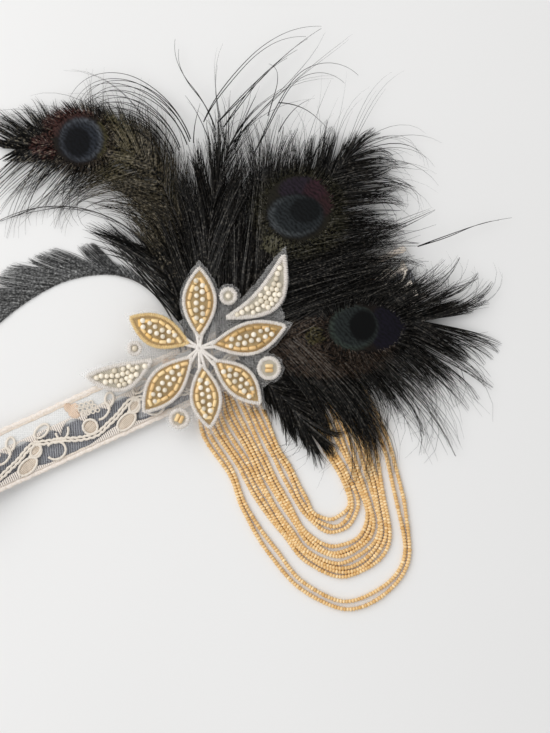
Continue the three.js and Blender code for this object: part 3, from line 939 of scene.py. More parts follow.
@dataclass
class LaceBand:
    """The sheer lace ribbon with its rolled edges and its corded embroidery."""

    loop: Loop
    width: float = 27.4
    wall: float = 1.0
    repeat: float = 52.0
    first: float = -143.0
    repeats: int = 5
    cord: float = 0.62
    vine_cord: float = 0.66
    blossom_cord: float = 0.34
    scallop: float = 13.0
    # How far in from the ribbon's edge, and half thickness.
    hems: tuple[tuple[float, float], ...] = ((1.0, 1.1), (2.3, 0.6))
    # Along and across the band, within one repeat.
    vine: tuple[tuple[float, float], ...] = (
        (0, 0.6), (7, -1.6), (14, -3.6), (20.5, -6.2), (29, -7.6),
        (37, -5.2), (42, -3.4), (48, -0.4), (52, 0.6),
    )
    # Along, across, half length, half width, tilt in degrees and the share of the ring that is worked.
    rings: tuple[tuple[float, ...], ...] = (
        (27.6, -3.1, 3.5, 3.5, 0, 1.0), (7.9, -6.6, 4.8, 4.2, 0, 0.8), (-1.6, -2.4, 3.4, 3.4, 0, 0.7),
        (5.5, 4.7, 4.2, 2.4, 20, 1.0), (44.5, -8.0, 5.4, 3.0, 20, 1.0), (51.2, -2.3, 3.4, 2.0, 35, 1.0),
        (14.5, 0.8, 3.0, 4.2, -30, 0.55), (36.0, 1.2, 4.4, 2.6, 30, 0.6), (41.5, 5.2, 3.2, 2.0, 60, 1.0),
    )
    # Along, across, half length, half width and tilt in degrees.
    ovals: tuple[tuple[float, ...], ...] = (
        (27.6, -3.1, 3.0, 3.0, 0), (44.5, -8.0, 5.0, 2.7, 20), (51.2, -2.3, 3.1, 1.8, 35),
    )
    blossoms: tuple[tuple[float, ...], ...] = (
        (23.6, 7.6, 3.4, 2.4, 40), (21.8, 9.4, 2.4, 2.0, 110), (23.2, 5.2, 2.3, 1.7, -30),
    )

    def build(
        self,
        lace: Material,
        hem: Material,
        thread: Material,
        fill: Material,
        peach: Material,
    ) -> None:
        """Make the ribbon, its edges and its embroidery.

        Args:
            lace: The sheer ground.
            hem: The turned-in edges.
            thread: The raised cords.
            fill: The beige satin inside the rings.
            peach: The satin of the small blossoms.
        """
        half = self.width / 2
        ribbon = finish_piece(
            self.loop.ribbon("band_lace_ribbon", self.wall / 2, -half, half, 14, 0.14),
            "band_lace_ribbon", lace, ("band_lace",),
        )
        edges = self.edges(hem)
        embroidery = self.embroidery(thread)
        scallops = self.scallops(hem)
        satin = self.satin(fill, "band_satin_ovals", self.ovals)
        blossoms = self.satin(peach, "band_satin_blossoms", self.blossoms)

    def edges(self, hem: Material) -> Object:
        """The rolled edges: a soft cord of turned-in lace along each side of the ribbon."""
        soup = Soup()
        line = self.loop.profile(self.wall / 2)
        spots, _ = even_points(np.column_stack([line, np.zeros(len(line))]), 1.4, closed=True)
        spots = np.vstack([spots, spots[:1]])
        share = np.linspace(0, 2 * math.pi, len(spots))
        for side in (-1, 1):
            for shift, radius in self.hems:
                v = side * (self.width / 2 - shift + 0.12 * np.sin(share * 61 + side))
                path = self.loop.place(spots[:, 0], v, spots[:, 1])[None]
                thick = radius * (1 + 0.18 * np.sin(share * 117 + shift))[None]
                soup.sweep(path, thick, thick * 0.4, 8, 0.1 if shift > 1 else 0.6)
        return soup.piece("band_rolled_edges", hem, Slot.LACE)

    def scallops(self, hem: Material) -> Object:
        """The lace's close white filling, worked in threads with a leaf-shaped lower edge."""
        soup = Soup()
        last = min(self.first + self.repeats * self.repeat, self.loop.right - 6)
        for number, x in enumerate(np.arange(self.first, last, 0.5)):
            part = (x - self.first) % self.scallop / self.scallop
            low = 3.6 - 4.4 * (1 - math.sin(math.pi * part) ** 0.8) + 0.9 * part
            foot = 2.0 - self.width / 2
            rise = 0.4 + 3.4 * math.sin(math.pi * ((x - self.first) / self.repeat - 0.25)) ** 4
            for start, end in ((low, 4.9), (foot, foot + rise)):
                line = np.array([[x + 0.25 * (number % 2), y] for y in np.linspace(start, end, 5)])
                soup.sweep(self.lay(line, 0.06)[None], np.full((1, 5), 0.3), np.full((1, 5), 0.12), 4, 0.8)
        return soup.piece("band_lace_filling", hem, Slot.LACE)

    def lay(self, points: np.ndarray, lift: float) -> np.ndarray:
        """Lay a line given along and across the band on the top layer, this far above it."""
        return self.loop.place(points[:, 0], points[:, 1], self.loop.top(points[:, 0]) + lift)

    def embroidery(self, thread: Material) -> Object:
        """The corded vine with its tendrils, rings and leaf loops, repeated along the band."""
        soup = Soup()
        turn = np.linspace(0, 2 * math.pi, 40)
        for number in range(self.repeats):
            start = self.first + number * self.repeat
            vine = smooth_line(np.array(self.vine) + (start, 0), 12)
            twist = 0.8 * np.sin(vine[:, 0] * 1.1)
            for way in (-1, 1):
                strand = vine + np.stack([0 * twist, way * (0.45 + np.abs(twist) * 0.6)], 1)
                self.stitch(soup, strand, self.vine_cord)
            for x, y, wide, high, tilt, part in self.rings:
                arc = turn[: max(3, int(len(turn) * part))] + math.pi * 1.1
                px, py = wide * np.cos(arc), high * np.sin(arc)
                ring = np.stack(turned_about(start + x, y, px, py, math.radians(tilt)), 1)
                self.stitch(soup, ring, self.cord)
            for column in range(4):
                for row in range(3):
                    x, y = 25.8 + column * 2.3 + row * 0.7, 8.4 - row * 2.3 - column * 0.35
                    ring = np.stack([start + x + 0.95 * np.cos(turn), y + 0.95 * np.sin(turn)], 1)
                    self.stitch(soup, ring[::3], self.blossom_cord)
        return soup.piece("band_corded_embroidery", thread, Slot.LACE)

    def stitch(self, soup: Soup, line: np.ndarray, radius: float) -> None:
        """Couch one cord down along a line."""
        inside = (np.abs(line[:, 1]) < self.width / 2 - 1.2) & (line[:, 0] < self.loop.right - 4)
        line = line[inside]
        if len(line) < 3:
            return
        path = self.lay(line, radius * 0.6)[None]
        share = np.arange(len(line))
        thick = radius * (1 + 0.15 * np.sin(share * 2.1))[None]
        soup.sweep(path, thick, thick, 5, 0.95)

    def satin(self, finish: Material, name: str, ovals: tuple[tuple[float, ...], ...]) -> Object:
        """Filled ovals of satin stitch, ribbed across.

        Args:
            finish: Their material.
            name: The piece's name.
            ovals: Place along and across, half length, half width and tilt of each in one repeat.

        Returns:
            The piece.
        """
        soup = Soup()
        for number in range(self.repeats):
            start = self.first + number * self.repeat
            for x, y, wide, high, tilt in ovals:
                for step in np.linspace(-0.9, 0.9, max(5, int(wide / 0.32))):
                    reach = high * math.sqrt(1 - step**2)
                    across = np.linspace(-reach, reach, 7)
                    line = np.stack(turned_about(start + x, y, wide * step, across, math.radians(tilt)), 1)
                    outside = np.abs(line[:, 1]).max() > self.width / 2 - 0.9
                    if outside or line[:, 0].max() > self.loop.right - 4:
                        continue
                    crown = 0.35 * (1 - (across / (reach + 1e-6)) ** 2)
                    path = self.loop.place(line[:, 0], line[:, 1], self.loop.top(line[:, 0]) + crown)[None]
                    soup.sweep(
                        path, np.full((1, 7), 0.36), np.full((1, 7), 0.2), 5,
                        0.5 + 0.4 * math.sin(step * 40),
                    )
        return soup.piece(name, finish, Slot.LACE)


@dataclass
class Elastic:
    """The narrower ribbed elastic that lines the loop."""

    loop: Loop
    width: float = 15.0
    drop: float = 4.5
    inset: float = 1.8

    def build(self, finish: Material) -> None:
        low = -self.drop - self.width / 2
        mesh = self.loop.ribbon("band_elastic_ribbon", self.inset, low, low + self.width, 8, 0.08)
        piece = finish_piece(mesh, "band_elastic_ribbon", finish, ("band_elastic",))


def smooth_line(points: np.ndarray, each: int) -> np.ndarray:
    """Run a smooth curve through points, uniform Catmull-Rom with a tension of one half.

    Args:
        points: The points, n by 2 or 3.
        each: Steps between two points.

    Returns:
        The curve's points.
    """
    padded = np.vstack([2 * points[0] - points[1], points, 2 * points[-1] - points[-2]])
    t = np.linspace(0, 1, each, endpoint=False)[:, None]
    parts = []
    for i in range(1, len(padded) - 2):
        p0, p1, p2, p3 = padded[i - 1 : i + 3]
        m1, m2 = 0.5 * (p2 - p0), 0.5 * (p3 - p1)
        parts.append(
            (2 * t**3 - 3 * t**2 + 1) * p1
            + (t**3 - 2 * t**2 + t) * m1
            + (-2 * t**3 + 3 * t**2) * p2
            + (t**3 - t**2) * m2
        )
    return np.vstack([*parts, points[-1:]])


# Flower


@dataclass
class Motif:
    """A petal or leaf: a pointed outline with a cord round it and beads inside."""

    name: str
    bearing: float
    start: float
    end: float
    half: float
    bow: float
    x: float = 0.0
    y: float = 0.0
    gold: float = 0.5

    def ring(self, inset: float, steps: int = 28) -> np.ndarray:
        """The outline at an inset from the cord's outer edge, in the plan of the frame."""
        inner, outer, half, bow = (
            value * FLOWER_REACH for value in (self.start, self.end, self.half, self.bow)
        )
        i = np.arange(2 * steps)
        side = np.where(i < steps, -1, 1)
        share = np.where(i < steps, i / steps, 2 - i / steps)
        run = inner + inset * 1.8 + (outer - inner - inset * 3.6) * share
        swell = np.maximum(np.sin(math.pi * np.clip(share, 0, 1) ** 1.08), 0) ** 0.9
        width = half * (1 - inset / half) * swell
        across = side * width + bow * np.sin(math.pi * (run - inner) / (outer - inner))
        return self.turned(run, across)

    def turned(self, run: np.ndarray, across: np.ndarray) -> np.ndarray:
        """Turn a place along and across the motif to the plan of the frame."""
        x, y = FLOWER[0] + self.x * FLOWER_REACH, FLOWER[1] + self.y * FLOWER_REACH
        return np.stack(turned_about(x, y, run, across, math.radians(self.bearing)), axis=1)

    def middle(self, first: float, last: float, spacing: float, zigzag: float) -> np.ndarray:
        """Places along the middle line, swung to each side by turns."""
        inner, outer, bow = self.start * FLOWER_REACH, self.end * FLOWER_REACH, self.bow * FLOWER_REACH
        reach = outer - inner
        run = inner + np.arange(first * reach, last * reach, spacing)
        across = bow * np.sin(math.pi * (run - inner) / reach)
        across = across + zigzag * np.where(np.arange(len(run)) % 2, 1, -1)
        return self.turned(run, across)


def mound(
    name: str, ring_at: Callable[[float], np.ndarray], levels: tuple[tuple[float, float], ...]
) -> Mesh:
    """A low padded shape built of rings, one inside the other.

    Args:
        name: The mesh's name.
        ring_at: Gives the outline's plan at an inset, always with as many points.
        levels: Inset and height of each ring, from the underside to the crown.

    Returns:
        The closed mesh.
    """
    shape = bmesh.new()
    rings = []
    for inset, height in levels:
        rings.append([shape.verts.new((x * MM, y * MM, height * MM)) for x, y in ring_at(inset)])
    shape.faces.new(rings[0][::-1])
    for lower, upper in zip(rings, rings[1:]):
        for i in range(len(lower)):
            k = (i + 1) % len(lower)
            shape.faces.new((lower[i], lower[k], upper[k], upper[i]))
    shape.faces.new(rings[-1])
    bmesh.ops.remove_doubles(shape, verts=shape.verts, dist=2e-6)
    bmesh.ops.recalc_face_normals(shape, faces=shape.faces)
    mesh = bpy.data.meshes.new(name)
    shape.to_mesh(mesh)
    shape.free()
    return mesh


PETALS = (
    Motif("petal_top", 90, 0.1, 0.98, 0.2, 0, gold=0.45),
    Motif("petal_upper_left", 156, 0.12, 0.92, 0.19, 0.02, gold=0.85),
    Motif("petal_lower_left", 229, 0.12, 1.03, 0.205, -0.02, gold=0.65),
    Motif("petal_bottom", 277.5, 0.18, 0.98, 0.185, 0, gold=0.6),
    Motif("petal_lower_right", 317.5, 0.2, 1.0, 0.18, 0.03, gold=0.4),
    Motif("petal_right", 14.5, 0.12, 1.08, 0.195, -0.04, gold=0.1),
)
LEAVES = (
    Motif("leaf_upper_right", 47.5, 0.0, 1.06, 0.155, -0.225, 0.295, 0.355),
    Motif("leaf_left", 194, 0.0, 0.84, 0.16, 0.12, -0.55, -0.13),
)


@dataclass
class Round:
    """A small ring of cord with one pearl or a few bugles in it."""

    name: str
    x: float
    y: float
    radius: float
    bugles: int
    tilt: float = 0.0


ROUNDS = (
    Round("round_top", 0.345, 0.62, 4.3, 0),
    Round("round_right", 0.83, -0.24, 5.7, 2),
    Round("round_left", -0.77, -0.005, 3.6, 0),
    Round("round_bottom", -0.24, -0.84, 5.0, 2, 65),
)


@dataclass
class Flower:
    """The flower sewn on the net: six petals, two leaves and four small rounds."""

    cord: float = 0.82
    base: float = 0.9
    cord_inset: float = 0.5
    bugle_inset: float = 3.15
    bugle_length: float = 3.6
    bugle_radius: float = 0.92
    pearl: float = 1.26
    stitch: float = 0.25
    leaf_inset: float = 0.6
    leaf_cord: float = 1.05
    leaf_pearl: float = 1.32
    leaf_pearl_gap: float = 2.35
    leaf_cord_gap: float = 1.6
    # How far close rows swing from a leaf's middle, and the share left free at each end.
    leaf_rows: tuple[tuple[float, float], ...] = ((3.45, 0.24), (2.4, 0.18), (0, 0.04))
    round_inset: float = 0.9
    round_cord: float = 1.0
    round_pearl: float = 1.35
    round_bugle: tuple[float, float] = (1.0, 3.9)
    rng: np.random.Generator = field(default_factory=lambda: np.random.default_rng(11))

    def build(self, finishes: dict[str, Material]) -> None:
        """Make every motif from its parts.

        Args:
            finishes: The materials by name.
        """
        for motif in PETALS:
            self.petal(motif, finishes)
        for motif in LEAVES:
            self.leaf(motif, finishes)
        for ring in ROUNDS:
            self.round(ring, finishes)
        self.knot(finishes["white cord"])

    def levels(self, slope: float, crown: float) -> tuple[tuple[float, float], ...]:
        """Rings of a motif's ground: its wall, then a soft rise this far in and this high."""
        top = PETAL_BOTTOM + self.base
        rise = ((slope * t, top + crown * math.sin(t * math.pi / 2)) for t in (0.45, 0.7, 1.0))
        return ((0.3, PETAL_BOTTOM), (0.3, top - 0.2), (0.5, top), *rise)

    def edge(self, name: str, outline: np.ndarray, finish: Material, slot: Slot, radius: float) -> None:
        """Lay the cord that edges a motif, with the small stitches that hold it down."""
        soup = Soup()
        height = PETAL_BOTTOM + self.base
        line = np.column_stack([outline, np.full(len(outline), height)])
        spots, run = even_points(line, 0.85, closed=True)
        spots = np.vstack([spots, spots[:1]])
        share = np.arange(len(spots))
        thick = radius * 0.86 * (1 + 0.07 * np.sin(share * 1.9))[None]
        soup.sweep(spots[None], thick, thick, 8, 0.45)
        run /= np.linalg.norm(run, axis=1, keepdims=True)
        side = np.stack([-run[:, 1], run[:, 0], np.zeros(len(run))], axis=1)
        arc = np.linspace(-0.15, math.pi + 0.15, 6)
        lean = self.rng.uniform(-0.25, 0.25, len(run))[:, None, None]
        loops = (
            spots[:-1, None]
            + side[:, None] * (np.cos(arc) * (radius + 0.06))[None, :, None]
            + run[:, None] * lean * np.cos(arc)[None, :, None]
            + np.array([0, 0, 1.0]) * (np.sin(arc) * (radius + 0.04))[None, :, None]
        )
        thin = np.full(loops.shape[:2], self.stitch)
        soup.sweep(loops, thin, thin, 4, self.rng.uniform(0.5, 1, len(loops)))
        soup.piece(name, finish, slot)

    def petal(self, motif: Motif, finishes: dict[str, Material]) -> None:
        """A petal: satin ground, white cord, a gold line, a ring of bugles and a zigzag of pearls."""
        ground = mound(motif.name + "_ground", motif.ring, self.levels(2.6, 0.35))
        finish_piece(ground, motif.name + "_ground", finishes["gold satin"], (motif.name,))
        cord = finishes["pale gold cord"] if motif.gold > 0.8 else finishes["white cord"]
        self.edge(motif.name + "_cord", motif.ring(self.cord_inset), cord, Slot.PEARL, self.cord)
        height = PETAL_BOTTOM + self.base
        line = Soup()
        inner = motif.ring(self.cord_inset + 1.25)
        twisted_cord(line, np.column_stack([inner, np.full(len(inner), height + 0.1)]), 0.3, 1.6, True)
        line.piece(motif.name + "_gold_line", finishes["gold cord"], Slot.GOLD)
        self.beads(motif, finishes, height)

    def beads(self, motif: Motif, finishes: dict[str, Material], height: float) -> None:
        """The bugles round a petal and the pearls down its middle."""
        outline = motif.ring(self.bugle_inset)
        line = np.column_stack([outline, np.full(len(outline), height + 0.62)])
        places, runs = even_points(line, self.bugle_length + 0.35, closed=True)
        count = len(places)
        places[:, :2] += self.rng.normal(0, 0.1, (count, 2))
        runs = runs / np.linalg.norm(runs, axis=1, keepdims=True)
        runs = runs + self.rng.normal(0, 0.07, (count, 3)) * (1, 1, 0.4)
        tone = np.clip(motif.gold + self.rng.normal(0, 0.16, count), 0, 1)
        soup = Soup()
        bugle = tube_bead(self.bugle_radius, self.bugle_length)
        scatter(soup, bugle, places, runs, self.rng.uniform(0.94, 1.05, count), tone)
        soup.piece(motif.name + "_bugles", finishes["gold bugles"], Slot.GOLD)
        spots = motif.middle(0.25, 0.8, 1.72, 1.42)
        spots += self.rng.normal(0, 0.2, spots.shape)
        self.pearls(motif.name + "_pearls", spots, height + 1.0, finishes["pearls"], self.pearl)

    def pearls(self, name: str, spots: np.ndarray, height: float, finish: Material, radius: float) -> None:
        """Round beads at places of the plan."""
        soup = Soup()
        count = len(spots)
        places = np.column_stack([spots, height + self.rng.normal(0, 0.08, count)])
        runs = np.column_stack([self.rng.normal(0, 1, (count, 2)), np.zeros(count)])
        pearl = round_bead(radius, radius * 2, 12)
        scatter(
            soup, pearl, places, runs, self.rng.uniform(0.9, 1.06, count), self.rng.uniform(0, 1, count)
        )
        soup.piece(name, finish, Slot.PEARL)

    def leaf(self, motif: Motif, finishes: dict[str, Material]) -> None:
        """A leaf: pale ground, white cord and scattered pearls."""
        ground = mound(motif.name + "_ground", motif.ring, self.levels(2.2, 0.3))
        finish_piece(ground, motif.name + "_ground", finishes["grey satin"], (motif.name,))
        cord = motif.ring(self.leaf_inset)
        self.edge(motif.name + "_cord", cord, finishes["white cord"], Slot.PEARL, self.leaf_cord)
        spots = self.leaf_places(motif)
        spots += self.rng.normal(0, 0.16, spots.shape)
        height = PETAL_BOTTOM + self.base + 0.85
        self.pearls(motif.name + "_pearls", spots, height, finishes["pearls"], self.leaf_pearl)

    def leaf_places(self, motif: Motif) -> np.ndarray:
        """Places for a leaf's pearls, in rows clear of its cord and of each other."""
        rows = [motif.middle(0.1, 0.9, 1.25, 1.25)]
        rows += [motif.middle(end, 1 - end, 0.35, swing) for swing, end in self.leaf_rows]
        spots = np.vstack(rows)
        to_cord = np.linalg.norm(spots[:, None] - motif.ring(self.leaf_inset)[None], axis=2).min(axis=1)
        kept: list[np.ndarray] = []
        for spot in spots[to_cord > self.leaf_cord_gap]:
            if all(math.dist(spot, other) > self.leaf_pearl_gap for other in kept):
                kept.append(spot)
        return np.array(kept)

    def round(self, ring: Round, finishes: dict[str, Material]) -> None:
        """A small round: pale ground, a scalloped cord and its beads."""
        turn = np.linspace(0, 2 * math.pi, 40, endpoint=False)
        centre = np.array([FLOWER[0] + ring.x * FLOWER_REACH, FLOWER[1] + ring.y * FLOWER_REACH])
        circle = np.stack([np.cos(turn), np.sin(turn)], axis=1)
        ground = mound(
            ring.name + "_ground",
            lambda inset: centre + circle * (ring.radius - inset),
            self.levels(1.6, 0.3),
        )
        finish_piece(ground, ring.name + "_ground", finishes["grey satin"], (ring.name,))
        scallop = 1 + 0.03 * np.cos(turn * 10)[:, None]
        line = centre + circle * scallop * (ring.radius - self.round_inset)
        self.edge(ring.name + "_cord", line, finishes["white cord"], Slot.PEARL, self.round_cord)
        height = PETAL_BOTTOM + self.base
        if not ring.bugles:
            self.pearls(
                ring.name + "_pearl", centre[None], height + 0.7, finishes["pearls"], self.round_pearl
            )
            return
        soup = Soup()
        run = np.array([math.cos(math.radians(ring.tilt)), math.sin(math.radians(ring.tilt)), 0.0])
        side = np.array([-run[1], run[0], 0.0])
        offsets = np.array([-1.0, 1.0])[:, None] * side * 1.05
        places = np.append(centre, height + 0.6) + offsets
        bugle = tube_bead(*self.round_bugle)
        scatter(soup, bugle, places, np.tile(run, (2, 1)), np.ones(2), np.array([0.3, 0.6]))
        soup.piece(ring.name + "_bugles", finishes["gold bugles"], Slot.GOLD)

    def knot(self, finish: Material) -> None:
        """Where the petals' cords run together over the flower's middle."""
        soup = Soup()
        height = PETAL_BOTTOM + self.base
        for motif in PETALS:
            turn = math.radians(motif.bearing)
            share = np.linspace(0, 1, 10)
            for side in (-1, 1):
                run = 0.2 + (motif.start * FLOWER_REACH + 2.6) * share
                across = side * (0.3 + 1.1 * share**1.5)
                x, y = turned_about(*FLOWER, run, across, turn)
                path = np.stack([x, y, height - 0.1 + 0.3 * (1 - share)], axis=1)[None]
                thick = np.full((1, 10), self.cord * 0.95)
                soup.sweep(path, thick, thick, 7, 0.6)
        turn = np.linspace(0, 4 * math.pi, 40)
        reach = 0.5 + 1.1 * turn / turn[-1]
        coil = np.stack(
            [
                FLOWER[0] + reach * np.cos(turn),
                FLOWER[1] + reach * np.sin(turn),
                np.full(40, height + 0.35),
            ],
            1,
        )[None]
        thick = np.full((1, 40), self.cord * 0.7)
        soup.sweep(coil, thick, thick, 7, 0.7)
        soup.piece("flower_middle_cords", finish, Slot.PEARL)


@dataclass
class NetPatch:
    """The cut-out net that carries the flower."""

    seed: int = 5

    def build(self, finish: Material) -> None:
        """Take the patch's plan, fray its cut edge and lay it just under the motifs."""
        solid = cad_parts["applique_net"]
        shape = bmesh.new()
        shape.from_mesh(solid.data)
        under = [face for face in shape.faces if face.normal.z < 0.5]
        bmesh.ops.delete(shape, geom=under, context="FACES")
        bmesh.ops.dissolve_limit(shape, angle_limit=0.02, verts=shape.verts, edges=shape.edges)
        rim = [edge for edge in shape.edges if edge.is_boundary]
        bmesh.ops.subdivide_edges(shape, edges=rim, cuts=5)
        rng = np.random.default_rng(self.seed)
        for vert in shape.verts:
            edges = [edge for edge in vert.link_edges if edge.is_boundary]
            if len(edges) == 2:
                ahead = (edges[0].other_vert(vert).co - edges[1].other_vert(vert).co).normalized()
                push = float(rng.uniform(-0.35, 0.25)) * MM
                vert.co.x += ahead.y * push
                vert.co.y -= ahead.x * push
            vert.co.z = (NET_BOTTOM + 0.95) * MM
        bmesh.ops.triangulate(shape, faces=shape.faces)
        area = sum(face.calc_area() for face in shape.faces)
        mesh = bpy.data.meshes.new("applique_net_patch")
        shape.to_mesh(mesh)
        shape.free()
        piece = finish_piece(mesh, "applique_net_patch", finish, ("applique_net",))


# Feathers


@dataclass(frozen=True)
class Locks:
    """A row of locks along one side of a stem; each value runs evenly from its first to its last."""

    side: int
    count: int
    at: tuple[float, ...]
    angle: tuple[float, ...]
    bend: tuple[float, ...]
    reach: tuple[float, ...]
    tip: tuple[float, ...]
    each: int = 26
    split: int = 2
    curl: float = 0.0
    thick: float = 1.0
    gather: float = 0.8
    wander: float = 1.0
    fray: float = 0.42


@dataclass(frozen=True)
class Eye:
    """The smooth oval in a peacock feather's tip."""

    share: float
    x: float
    y: float
    wide: float
    high: float
    tilt: float = 0.0


@dataclass
class Feather:
    """One feather: its stem, its close vane and its long loose barbs."""

    name: str
    root: tuple[float, float]
    headings: tuple[float, ...]
    heights: tuple[float, ...]
    length: float
    vane: tuple[float, float, float, float]
    locks: tuple[Locks, ...]
    seed: int
    eye: Eye | None = None
    pitch: float = 0.3
    barb: float = 0.42
    vane_angle: float = 38.0
    stem_width: float = 0.8

    def stem(self) -> np.ndarray:
        """The stem's plan line."""
        return course(self.root, self.headings, self.length)

    def build(self, finish: Material, quill: Material, gloss: Material) -> None:
        """Make the feather's barbs, its stem and its eye.

        Args:
            finish: The barbs' material.
            quill: The stem's material.
            gloss: The eye's material.
        """
        rng = np.random.default_rng(self.seed)
        barbs = Soup()
        self.close_vane(barbs, rng)
        for row in self.locks:
            self.loose(barbs, row, rng)
        if self.eye:
            self.eye_fringe(barbs, self.eye, rng)
        barbs.piece(self.name + "_barbs", finish, Slot.FEATHER, (self.name,))
        stem = Soup()
        line = self.stem()
        line = line[line[:, 0] <= 0.97]
        height = read_at(self.heights, line[:, 0]) + 0.8
        path = np.column_stack([line[:, 1:3], height])[None]
        wide = self.stem_width * (1 - 0.8 * line[:, 0])[None]
        stem.sweep(path, wide, wide * 0.7, 7, 0.5)
        stem.piece(self.name + "_stem", quill, Slot.FEATHER)
        if self.eye:
            self.build_eye(self.eye, gloss)

    def build_eye(self, eye: Eye, gloss: Material) -> None:
        """The eye's close, glossy oval, a little raised above the vane."""
        top = float(read_at(self.heights, eye.share)) + EYE_RISE
        turn = np.linspace(0, 2 * math.pi, 120, endpoint=False)
        tilt = math.radians(eye.tilt)
        rough = 1 + 0.02 * np.sin(turn * 23) + 0.02 * np.sin(turn * 35 + 1)

        def ring_at(inset: float) -> np.ndarray:
            px, py = (eye.wide - inset) * rough * np.cos(turn), (eye.high - inset) * rough * np.sin(turn)
            return np.stack(turned_about(eye.x, eye.y, px, py, tilt), 1)

        small = min(eye.wide, eye.high)
        levels = [(0.0, top - 0.35), (0.0, top)]
        levels += [
            (small * t, top + 0.55 * math.sin(t * math.pi / 2)) for t in (0.06, 0.2, 0.4, 0.6, 0.8, 0.95)
        ]
        mesh = mound(self.name + "_eye", ring_at, tuple(levels))
        for key in ("tone", "run"):
            mesh.attributes.new(key, "FLOAT", "POINT")
        finish_piece(mesh, self.name + "_eye", gloss)

    def eye_fringe(self, soup: Soup, eye: Eye, rng: np.random.Generator) -> None:
        """Short barbs that lie over the eye's rim and run outward and towards the tip.

        Args:
            soup: Where the barbs are added.
            eye: The eye.
            rng: The source of chance.
        """
        count = int(13 * (eye.wide + eye.high))
        line = self.stem()
        along = math.radians(float(np.interp(eye.share, line[:, 0], line[:, 3])))
        turn, tilt = rng.uniform(0, 2 * math.pi, count), math.radians(eye.tilt)
        px = eye.wide * np.cos(turn) * rng.uniform(0.86, 1.02, count)
        py = eye.high * np.sin(turn) * rng.uniform(0.86, 1.02, count)
        out = np.arctan2(
            np.sin(turn + tilt) + 0.55 * math.sin(along), np.cos(turn + tilt) + 0.55 * math.cos(along)
        )
        run = np.linspace(0, 1, 5)[None] * rng.uniform(4.5, 9.0, count)[:, None]
        top = float(read_at(self.heights, eye.share)) + EYE_RISE
        x, y = turned_about(eye.x, eye.y, px, py, tilt)
        path = np.stack(
            [
                x[:, None] + run * np.cos(out)[:, None],
                y[:, None] + run * np.sin(out)[:, None],
                top + 0.3 - 0.24 * run,
            ],
            axis=-1,
        )
        self.grow(soup, path, np.full(count, 0.24), rng.uniform(0, 0.7, count))

    def paths(
        self,
        at: np.ndarray,
        side: int,
        angle: np.ndarray,
        bend: np.ndarray,
        curl: np.ndarray,
        reach: np.ndarray,
        tip: np.ndarray,
        rise: np.ndarray,
        steps: int,
    ) -> np.ndarray:
        """Walk barbs out from the stem.

        Args:
            at: Where on the stem, as shares.
            side: 1 for the stem's left and -1 for its right.
            angle: Degrees from the stem's heading.
            bend: Degrees turned evenly by the tip.
            curl: Degrees turned further, mostly near the tip.
            reach: Lengths in millimetres.
            tip: Height of the tips.
            rise: How much higher each lies than the stem's underside.
            steps: Segments.

        Returns:
            Points, barbs by steps by 3.
        """
        line = self.stem()
        x, y, heading = (np.interp(at, line[:, 0], line[:, i]) for i in (1, 2, 3))
        share = (np.arange(steps) + 0.5) / steps
        turn = np.radians(
            heading[:, None] + side * (angle[:, None] + bend[:, None] * share + curl[:, None] * share**4)
        )
        dx, dy = (np.cumsum(f(turn) * (reach / steps)[:, None], axis=1) for f in (np.cos, np.sin))
        zeros = np.zeros((len(at), 1))
        px = x[:, None] + np.hstack([zeros, dx])
        py = y[:, None] + np.hstack([zeros, dy])
        run = np.linspace(0, 1, steps + 1)[None]
        base = read_at(self.heights, at)
        low = np.minimum(tip, base)
        pz = base[:, None] + (low - base)[:, None] * run**2.2 + rise[:, None]
        return np.stack([px, py, pz], axis=-1)

    @staticmethod
    def grow(soup: Soup, path: np.ndarray, wide: np.ndarray, tone: np.ndarray) -> None:
        """Give barbs their tapering bodies and add them."""
        run = np.linspace(0, 1, path.shape[1])[None]
        thick = wide[:, None] * (1 - 0.86 * run**1.6)
        soup.sweep(path, thick, np.minimum(thick * 0.45, 0.2), 3, tone)

    def close_vane(self, soup: Soup, rng: np.random.Generator) -> None:
        """The close vane on both sides of the stem, as wide at each share as the outline asks."""
        start, end, left, right = self.vane
        for side, extent in ((1, left), (-1, right)):
            count = int(self.length * (min(end, 1.0) - start + 0.2) / self.pitch)
            tip_at = np.linspace(start, end, count) + rng.normal(0, 0.002, count)
            part = np.clip((tip_at - start) / (end - start), 0.01, 0.99)
            angle = self.vane_angle * (1 - 0.5 * part) + rng.normal(0, 1.8, count)
            out = extent * np.sin(math.pi * part) ** 0.7 * rng.uniform(0.86, 1.04, count)
            at = np.clip(
                tip_at - out / np.tan(np.radians(np.maximum(angle, 12))) / self.length, 0.01, 0.995
            )
            reach = out / np.sin(np.radians(np.maximum(angle, 12)))
            path = self.paths(
                at, side, angle, rng.normal(-2, 3, count), np.zeros(count), reach,
                read_at(self.heights, tip_at), rng.uniform(0.35, 1.05, count), 5,
            )
            self.grow(soup, path, np.full(count, self.barb), rng.uniform(0, 0.8, count))

    def loose(self, soup: Soup, row: Locks, rng: np.random.Generator) -> None:
        """The long loose barbs of one row, drawn together towards the tip of each lock.

        Args:
            soup: What they are added to.
            row: The row's values.
            rng: The feather's own random numbers.
        """
        locks = row.count * row.split
        each = max(2, row.each // row.split)
        centre = np.linspace(0, 1, locks) if row.count > 1 else np.full(locks, 0.5)
        lean = rng.normal(0, 1, (locks, 4))
        which = np.repeat(np.arange(locks), each)
        count = len(which)
        within = np.tile(np.linspace(-0.5, 0.5, each), locks)
        place = np.clip(centre[which] + within / max(locks - 1, 1), 0, 1)

